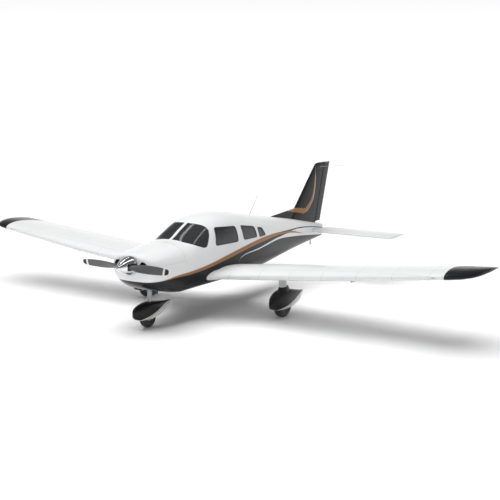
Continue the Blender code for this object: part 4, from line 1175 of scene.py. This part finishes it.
def make_spinner():
    foot, plane = at(SPINNER_LENGTH), at(PROPELLER_STATION)
    swell, point = SPINNER_POINT
    shape = []
    for k in range(SPINNER_STEPS + 1):
        share = (k / SPINNER_STEPS) ** 1.5
        shape.append((SPINNER_RADIUS * (1 - (1 - share) ** swell) ** point, -SPINNER_LENGTH * (1 - share)))
    cone = turned(shape + SPINNER_INSIDE, (0, foot, THRUST_LINE), (0, 1, 0), 96, closed=False)
    for side, _ in SIDES:
        low = (side * 0.10, plane - 0.062, THRUST_LINE - 0.058)
        cone = carved(cone, box(low, (side * 0.25, foot + 0.01, THRUST_LINE + 0.058)))
    piece("spinner_cone", cone, CHROME, ["spinner"], "propeller", sharp=40)


def blade(side):
    rings = []
    for radius, chord, thick, pitch in smoothed(BLADE, 5):
        turn = math.radians(pitch)
        ring = []
        for k in range(BLADE_POINTS):
            angle = 2 * math.pi * k / BLADE_POINTS
            along, across = chord / 2 * math.cos(angle), thick / 2 * math.sin(angle)
            y = at(PROPELLER_STATION) + along * math.sin(turn) + across * math.cos(turn)
            z = THRUST_LINE + side * (along * math.cos(turn) - across * math.sin(turn))
            ring.append(Vector((side * radius, y, z)))
        rings.append(ring)
    return loft(rings)


def make_propeller():
    foot, plane = at(SPINNER_LENGTH), at(PROPELLER_STATION)
    hub = rod((0, plane - 0.045, THRUST_LINE), (0, foot + 0.006, THRUST_LINE), 0.075, 48)
    plate = rod((0, foot + CLEAR, THRUST_LINE), (0, foot + BACKPLATE, THRUST_LINE), SPINNER_RADIUS, 96)
    whole = joined(hub, plate, blade(1), blade(-1))
    piece("propeller_blades", whole, blade_finish(), ["propeller"], "propeller", sharp=40)


make_spinner()
make_propeller()
print("Propeller", 2 * BLADE[-1][0], "m across")


# %% [markdown]
# A tyre is a turned profile: bead, bulging wall, rounded shoulder and a tread with three grooves. The
# rim has a web between its two flanges and a ring of bolts.

# %% Tyres and rims
# x, station, height of the axle, which is also the tyre's radius
MAIN_WHEEL = (1.570, 2.736, 0.2225)
NOSE_WHEEL = (0.0, 0.79, 0.178)
# Shares of the tyre's depth and of its half width
TYRE_SHAPE = (
    (0.0, 0.70), (0.05, 0.775), (0.28, 0.92), (0.58, 1.0), (0.78, 0.93), (0.90, 0.78), (0.97, 0.58),
    (1.0, 0.36),
)
GROOVES = (0.30, 0.0, -0.30)
GROOVE_WIDTH = 0.05
# Where a groove's edges lie, in its own widths, and how deep, as a share of the tyre's depth
GROOVE_SHAPE = ((1.3, 0.0), (1.0, 0.035), (-1.0, 0.035), (-1.3, 0.0))
BOLTS = 8


def tyre_profile(radius, half_width, bead_radius):
    depth = radius - bead_radius
    right = [(bead_radius + depth * share, half_width * wide) for share, wide in smoothed(TYRE_SHAPE, 4)]
    tread = [
        (radius - drop * depth, half_width * (middle + edge * GROOVE_WIDTH))
        for middle in GROOVES for edge, drop in GROOVE_SHAPE
    ]
    return right + tread + [(r, -wide) for r, wide in reversed(right)]


def make_wheel(prefix, suffix, x, station, radius, half_width, rim_radius, axle, body):
    centre = Vector((x, at(station), radius))
    tyre = turned(tyre_profile(radius, half_width, rim_radius + CLEAR), centre, (1, 0, 0), 96)
    nodes = [f"{prefix}_tyre{suffix}"]
    piece(f"{prefix}_tread{suffix}", tyre, RUBBER, nodes, body, sharp=28)
    hub, web, edge = rim_radius * 0.58, half_width * 0.34, half_width * 0.70
    bore, inner = axle + CLEAR, rim_radius - 0.008
    half = [
        (bore, edge), (hub - 0.004, edge), (hub, edge - 0.004), (hub + 0.003, web), (inner - 0.003, web),
        (inner, web + 0.004), (inner, edge - 0.004), (rim_radius - 0.003, edge), (rim_radius, edge - 0.003),
    ]
    parts = [turned(half + [(r, -along) for r, along in reversed(half)], centre, (1, 0, 0), 72)]
    out = Vector((edge + 0.004, 0, 0))
    for k in range(BOLTS):
        turn = 2 * math.pi * k / BOLTS
        spot = centre + Vector((0, math.cos(turn), math.sin(turn))) * (hub - 0.012)
        parts.append(rod(spot - out, spot + out, 0.0045, 6))
    nodes = [f"{prefix}_rim{suffix}"]
    piece(f"{prefix}_hub{suffix}", joined(*parts), RIM_METAL, nodes, body, sharp=30)


for side, word in SIDES:
    x, station, height = MAIN_WHEEL
    make_wheel("main", f"_{word}", side * x, station, height, 0.078, 0.076, 0.018, f"main_wheel_{word}")
make_wheel("nose", "", *NOSE_WHEEL, 0.0625, 0.0635, 0.012, "nose_wheel")
print("Three wheels")


# %% [markdown]
# A wheel fairing is a streamlined shell: blunt ahead, widest over the axle and pinched to a point aft.
# The wheel's bay is cut from below, and the main ones rise in a collar round the leg.

# %% Wheel fairings and main legs
LEG_TOP = 0.84
LEG_RADIUS = 0.05
LEG_SLEEVE = (0.062, 0.092)
COLLAR_TOP = 0.56
AXLE_BAY = 0.016
FAIRING_POWER = 10 / 3
FAIRING_POINTS = 56
# Station, half width, top, middle, foot
MAIN_FAIRING = (
    (2.330, 0.020, 0.300, 0.270, 0.240), (2.365, 0.062, 0.362, 0.270, 0.205),
    (2.450, 0.112, 0.430, 0.272, 0.175), (2.600, 0.144, 0.492, 0.276, 0.158),
    (2.800, 0.150, 0.510, 0.284, 0.156), (3.000, 0.134, 0.474, 0.298, 0.174),
    (3.200, 0.098, 0.428, 0.318, 0.222), (3.360, 0.048, 0.396, 0.342, 0.292),
    (3.460, 0.012, 0.380, 0.364, 0.348),
)
NOSE_FAIRING = (
    (0.410, 0.018, 0.330, 0.300, 0.270), (0.440, 0.056, 0.368, 0.290, 0.215),
    (0.520, 0.096, 0.405, 0.278, 0.172), (0.660, 0.120, 0.440, 0.270, 0.152),
    (0.820, 0.124, 0.452, 0.272, 0.148), (0.980, 0.110, 0.434, 0.284, 0.165),
    (1.140, 0.078, 0.412, 0.304, 0.205), (1.300, 0.036, 0.392, 0.336, 0.276),
    (1.430, 0.010, 0.380, 0.362, 0.344),
)
# Level, half length, half width
COLLAR = ((0.44, 0.22, 0.095), (0.47, 0.188, 0.085), (0.51, 0.160, 0.077), (COLLAR_TOP, 0.125, 0.068))


def oval(x, y, level, wide, long, count=48):
    turns = [2 * math.pi * k / count for k in range(count)]
    return [Vector((x + wide * math.cos(turn), y + long * math.sin(turn), level)) for turn in turns]


def fairing(x, rows):
    powers = (FAIRING_POWER, FAIRING_POWER)
    return loft([section(x, *row, *powers, FAIRING_POINTS) for row in smoothed(rows, 5)])


def with_bay(shell, ends, station, height, front, rear, top):
    """Room for the wheel, open below, with a pocket over it for the top of its fork."""
    radius = height + AXLE_BAY
    outline = [(station - radius, 0.0)]
    for k in range(33):
        angle = math.pi * (1 - k / 32)
        outline.append((station + radius * math.cos(angle), height + radius * math.sin(angle)))
    shell = carved(shell, prism(outline + [(station + radius, 0.0)], *ends))
    low = (ends[0], at(station + front), height)
    return carved(shell, box(low, (ends[1], at(station + rear), top + CLEAR)))


def make_main_gear(side, word):
    x, station, height = MAIN_WHEEL
    x, y = x * side, at(station)
    arm_out, arm_in = x - side * 0.115, x - side * 0.092
    collar = loft([oval(x, y + 0.03, level, wide, long) for level, long, wide in COLLAR])
    shell = carved(fairing(x, MAIN_FAIRING), collar, "UNION")
    ends = (arm_out - side * CLEAR, x + side * 0.098)
    shell = with_bay(shell, ends, station, height, -0.046, 0.046, 0.470)
    shell = carved(shell, rod((x, y, 0.40), (x, y, 0.70), LEG_RADIUS + CLEAR, 48))
    piece(f"main_spat_{word}", shell, MAIN_FAIRING_PAINT, [f"main_fairing_{word}"])

    leg = joined(
        loft([oval(x, y, level, *LEG_SLEEVE) for level in (COLLAR_TOP + CLEAR, LEG_TOP)]),
        rod((x, y, 0.60), (x, y, 0.50), LEG_RADIUS, 48),
        rod((x, y, 0.51), (x, y, 0.460), 0.034),
        box((arm_out, y - 0.045, 0.4515), (x + side * 0.034, y + 0.045, 0.470)),
        box((arm_out, y - 0.04, height - 0.035), (arm_in, y + 0.04, 0.465)),
        rod((arm_out + side * 0.005, y, height), (x + side * 0.062, y, height), 0.018),
    )
    piece(f"main_strut_{word}", leg, GREY_PAINT, [f"main_leg_{word}"], sharp=40)


for side, word in SIDES:
    make_main_gear(side, word)
print("Main legs stand", 2 * MAIN_WHEEL[0], "m apart")


# %% [markdown]
# The nose leg is a round strut that leans forward, held to the firewall by two brackets. A cross bar
# behind it takes the steering rods. Its lower end turns with the fork, which straddles the wheel and
# carries the axle.

# %% Nose gear
STEER_TOP = 0.455


def make_nose_gear():
    x, station, height = NOSE_WHEEL
    y = at(station)
    parts = [rod(strut_point(STEER_TOP), strut_point(0.86), 0.038, 48)]
    for level in (0.49, 0.54, 0.60):
        parts.append(rod(strut_point(level), strut_point(level + 0.018), 0.043, 48))
    for level in (0.735, 0.835):
        parts.append(box((-0.03, at(0.87), level - 0.02), (0.03, at(FIREWALL), level + 0.02)))
    piece("nose_cylinder", joined(*parts), GREY_PAINT, ["nose_strut"], sharp=40)

    parts = [box((-0.13, at(0.905), 0.588), (0.13, at(0.925), 0.628))]
    for side, _ in SIDES:
        parts.append(rod((side * 0.105, at(0.915), 0.60), (side * 0.105, at(0.97), 0.72), 0.014))
        parts.append(rod((side * 0.03, at(0.90), 0.56), (side * 0.125, at(0.915), 0.612), 0.016, 24, 0.012))
    piece("nose_steering_links", joined(*parts), IRON, sharp=30)

    parts = [rod(strut_point(STEER_TOP - CLEAR), strut_point(0.385), 0.028, 48)]
    parts.append(box((-0.085, y - 0.03, 0.372), (0.085, y + 0.085, 0.402)))
    for side, _ in SIDES:
        parts.append(box((side * 0.0705, y - 0.03, height - 0.03), (side * 0.085, y + 0.045, 0.39)))
    parts.append(rod((-0.08, y, height), (0.08, y, height), 0.012))
    fork = joined(*parts)
    piece("nose_fork_frame", fork, GREY_PAINT, ["nose_fork"], "nose_leg_steered", sharp=40)

    shell = with_bay(fairing(x, NOSE_FAIRING), (-0.0853, 0.0853), station, height, -0.031, 0.086, 0.402)
    shell = carved(shell, rod(strut_point(0.36), strut_point(0.56), 0.045, 48))
    piece("nose_spat", shell, NOSE_FAIRING_PAINT, ["nose_fairing"], "nose_leg_steered")


make_nose_gear()
print("Nose leg and fairing in place")


# %% [markdown]
# Leather seats are stuffed, so each cushion and back starts a little small, is remeshed evenly and is
# blown up by a cloth simulation. How far a point may move is capped, and then the sewn channels are
# pressed in.

# %% Stuffed pads
SEAT_FRONT = 1.80
SEAT_PITCH = 0.93
SEAT_CENTRE = 0.265
FLOOR_TOP = 0.741
PAD_EDGE = 0.04
PAD_VOXEL = 0.010
PAD_PRESSURE = 4.0
PAD_CAP = 0.022
PAD_LAST_FRAME = 20
PAD_LEAN = math.atan2(0.18, 0.57)
CHANNEL_DEPTH = 0.007
CHANNEL_WIDTH = 0.008
# Where the channels lie, as shares of the half width
SEAT_CHANNELS = (-0.36, 0.36)
BENCH_CHANNELS = (-0.66, -0.22, 0.22, 0.66)


def pad_block(low, high, lean=0.0):
    """A rounded block between two corners, leaning aft about its foot."""
    mesh = box(low, high)
    rounded(mesh, mesh.edges[:], "EDGES", PAD_EDGE, 5)
    foot = Matrix.Translation((0, low[1], low[2]))
    turn = foot @ Matrix.Rotation(-lean, 4, "X") @ foot.inverted()
    bmesh.ops.transform(mesh, matrix=turn, verts=mesh.verts)
    return mesh


def apply_modifiers(made):
    data, old = result_of(made), made.data
    made.modifiers.clear()
    made.data = data
    bpy.data.meshes.remove(old)


def blow_up(made):
    """Remesh evenly and swell by cloth pressure, with no point moved past the cap."""
    grid = made.modifiers.new("grid", "REMESH")
    grid.mode = "VOXEL"
    grid.voxel_size = PAD_VOXEL
    apply_modifiers(made)
    start = [vert.co.copy() for vert in made.data.vertices]
    cloth = made.modifiers.new("cloth", "CLOTH")
    cloth.settings.use_pressure = True
    cloth.settings.uniform_pressure_force = PAD_PRESSURE
    cloth.settings.effector_weights.gravity = 0.0
    cloth.point_cache.frame_start = 1
    cloth.point_cache.frame_end = PAD_LAST_FRAME
    for number in range(1, PAD_LAST_FRAME + 1):
        bpy.context.scene.frame_set(number)
    apply_modifiers(made)
    bpy.context.scene.frame_set(1)
    for vert, old in zip(made.data.vertices, start):
        move = vert.co - old
        if move.length > PAD_CAP:
            vert.co = old + move.normalized() * PAD_CAP


def press_channels(made, lines, facing):
    """Sewn channels: grooves pressed in where the skin looks towards facing."""
    for vert in made.data.vertices:
        if vert.normal.dot(facing) < 0.4:
            continue
        gap = min(abs(vert.co.x - line) for line in lines)
        vert.co -= vert.normal * CHANNEL_DEPTH * math.exp(-(gap / CHANNEL_WIDTH) ** 2)


def pad(name, mesh, lines, facing, node):
    made = stand_in(mesh, name)
    blow_up(made)
    press_channels(made, lines, facing)
    made.data.materials.clear()
    made.data.materials.append(LEATHER)
    made.data.shade_smooth()
    finer = made.modifiers.new("finer", "SUBSURF")
    finer.levels = finer.render_levels = 1
    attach(made, "airframe")
    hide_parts(node)


def make_seat(name, node, front, middle, half_width, top, channels):
    base, low, high = at(front), middle - half_width, middle + half_width
    lines = [middle + half_width * share for share in channels]
    cushion = pad_block((low + 0.018, base + 0.025, 0.945), (high - 0.018, base + 0.47, 1.062))
    pad(f"{name}_cushion", cushion, lines, Vector((0, 0, 1)), node)
    back = pad_block((low + 0.018, base + 0.455, 1.035), (high - 0.018, base + 0.555, top + 0.02), PAD_LEAN)
    pad(f"{name}_back", back, lines, Vector((0, -math.cos(PAD_LEAN), math.sin(PAD_LEAN))), node)
    foot, heel = FLOOR_TOP + CLEAR, front + 0.06
    frame_outline = ((heel, foot), (front + 0.46, foot), (front + 0.50, 0.93), (heel, 0.93))
    stand = prism(frame_outline, low + 0.03, high - 0.03, 0.015)
    piece(f"{name}_stand", stand, TRIM, [node], sharp=40)


for side, word in SIDES:
    name = f"front_seat_{word}"
    make_seat(name, name, SEAT_FRONT, side * SEAT_CENTRE, 0.225, 1.46, SEAT_CHANNELS)
make_seat("rear_bench", "rear_seat", SEAT_FRONT + SEAT_PITCH, 0.0, 0.43, 1.38, BENCH_CHANNELS)
print("Seats stuffed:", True)


# %% [markdown]
# Each side window sits in a dark rubber seal. It is a round bead along a closed line on the skin, which
# follows the window's outline with its corners rounded.

# %% Window seals
SEAL_RADIUS = 0.0055
SEAL_CORNER_STEPS = 7
SEAL_STEP = 0.03


def bead(points):
    """A thin round strip along a closed line."""
    curve = bpy.data.curves.new("bead", "CURVE")
    curve.dimensions = "3D"
    curve.bevel_depth = SEAL_RADIUS
    curve.bevel_resolution = 3
    line = curve.splines.new("POLY")
    line.points.add(len(points) - 1)
    for point, place in zip(line.points, points):
        point.co = (*place, 1.0)
    line.use_cyclic_u = True
    mesh = taken(result_of(placed("bead", curve)), bmesh.new())
    bmesh.ops.recalc_face_normals(mesh, faces=mesh.faces)
    bpy.data.curves.remove(curve)
    return mesh


def round_corners(outline, corner):
    """The outline with each corner replaced by an arc's worth of points."""
    result = []
    for k, spot in enumerate(outline):
        spot = Vector(spot)
        ahead = Vector(outline[k - 1]) - spot
        behind = Vector(outline[(k + 1) % len(outline)]) - spot
        reach = min(corner, ahead.length * 0.45, behind.length * 0.45)
        first, last = spot + ahead.normalized() * reach, spot + behind.normalized() * reach
        for step in range(SEAL_CORNER_STEPS + 1):
            share = step / SEAL_CORNER_STEPS
            result.append(first * (1 - share) ** 2 + spot * 2 * share * (1 - share) + last * share ** 2)
    return result


def seal_points(outline, corner, side):
    points = []
    spots = round_corners(outline, corner)
    for spot, after in zip(spots, spots[1:] + spots[:1]):
        steps = max(1, round((after - spot).length / SEAL_STEP))
        for step in range(steps):
            place = spot + (after - spot) * step / steps
            points.append(Vector((side * skin_x(*place), at(place.x), place.y)))
    return points


for side, word in SIDES:
    for name, outline, _, corner, *_ in WINDOWS[1:]:
        strip = bead(seal_points(outline, corner, side))
        piece(f"{name}_seal_{word}", strip, SEAL, body=carrier(name, side))
print("Six window seals")


# %% [markdown]
# The instrument panel shows dark behind the windscreen. Round dials with bright rings, and a padded lip
# over them, make it read as a panel from outside.

# %% Panel dials and glareshield
PANEL_FACE = 1.6403
UPPER_DIALS = [(x, 1.30) for x in (-0.36, -0.24, -0.12, 0.0, 0.12, 0.24, 0.36)]
LOWER_DIALS = [(x, 1.18) for x in (-0.36, -0.12, 0.0, 0.12, 0.36)]
DIAL_RING = ((0.034, 0.0), (0.043, 0.0), (0.043, 0.008), (0.037, 0.010), (0.034, 0.004))


def make_dials():
    face = at(PANEL_FACE)
    dials = UPPER_DIALS + LOWER_DIALS
    rings = [turned(DIAL_RING, (x, face, height), (0, 1, 0), 40) for x, height in dials]
    faces = [rod((x, face, height), (x, face + 0.003, height), 0.0345, 40) for x, height in dials]
    piece("dial_rings", joined(*rings), STEEL, sharp=30)
    piece("dial_faces", joined(*faces), GLASS, sharp=30)
    lip = rod((-0.47, at(1.702), 1.388), (0.47, at(1.702), 1.388), 0.012, 24)
    piece("glareshield_lip", lip, TRIM, sharp=30)


make_dials()
print("Dials:", len(UPPER_DIALS + LOWER_DIALS))


# %% [markdown]
# A few fittings stand on the skin: the air-data mast under the left wing, a V of two thin aerials at the
# fin's top, the cabin door's handle and the baggage door's latch.

# %% Mast, aerials, handle and latch
def make_fittings():
    mast = box((3.038, at(2.55), 0.83), (3.062, at(2.67), 1.00))
    piece("air_data_mast", mast, GREY_PAINT, sharp=30, bevel=0.005)
    for side, word in SIDES:
        aerial = rod((side * 0.004, at(6.80), 2.36), (side * 0.45, at(7.28), 2.38), 0.0035, 12, 0.0025)
        piece(f"tail_aerial_{word}", aerial, STEEL)
    x = -skin_x(2.80, 1.16)
    handle = box((x - 0.012, at(2.74), 1.148), (x + 0.004, at(2.85), 1.172))
    piece("cabin_door_handle", handle, CHROME, body="cabin_door", sharp=30, bevel=0.004)
    x = -skin_x(3.76, 1.08)
    latch = rod((x + 0.004, at(3.74), 1.08), (x - 0.008, at(3.74), 1.08), 0.016)
    piece("baggage_door_latch", latch, CHROME, body="baggage_door", sharp=30, bevel=0.002)


make_fittings()
print("Five fittings")


# %% [markdown]
# A few CAD nodes are already the right shape, so they stay and only need their finish.

# %% Finishes of the CAD nodes that stay
KEPT_NODES = {
    "firewall": LIVERY, "engine_block": IRON, "exhaust_pipe": STEEL, "cabin_floor": LINING,
    "baggage_bulkhead": LINING, "instrument_panel": TRIM, "boarding_step": GREY_PAINT,
    "tail_tie_down": STEEL, "whip_aerial": STEEL,
}
for name, paint in KEPT_NODES.items():
    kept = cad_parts[name]
    if not kept.material_slots:
        kept.data.materials.append(paint)
    for holder in kept.material_slots:
        holder.link = "OBJECT"
        holder.material = paint
print("CAD nodes that stay:", len(KEPT_NODES))
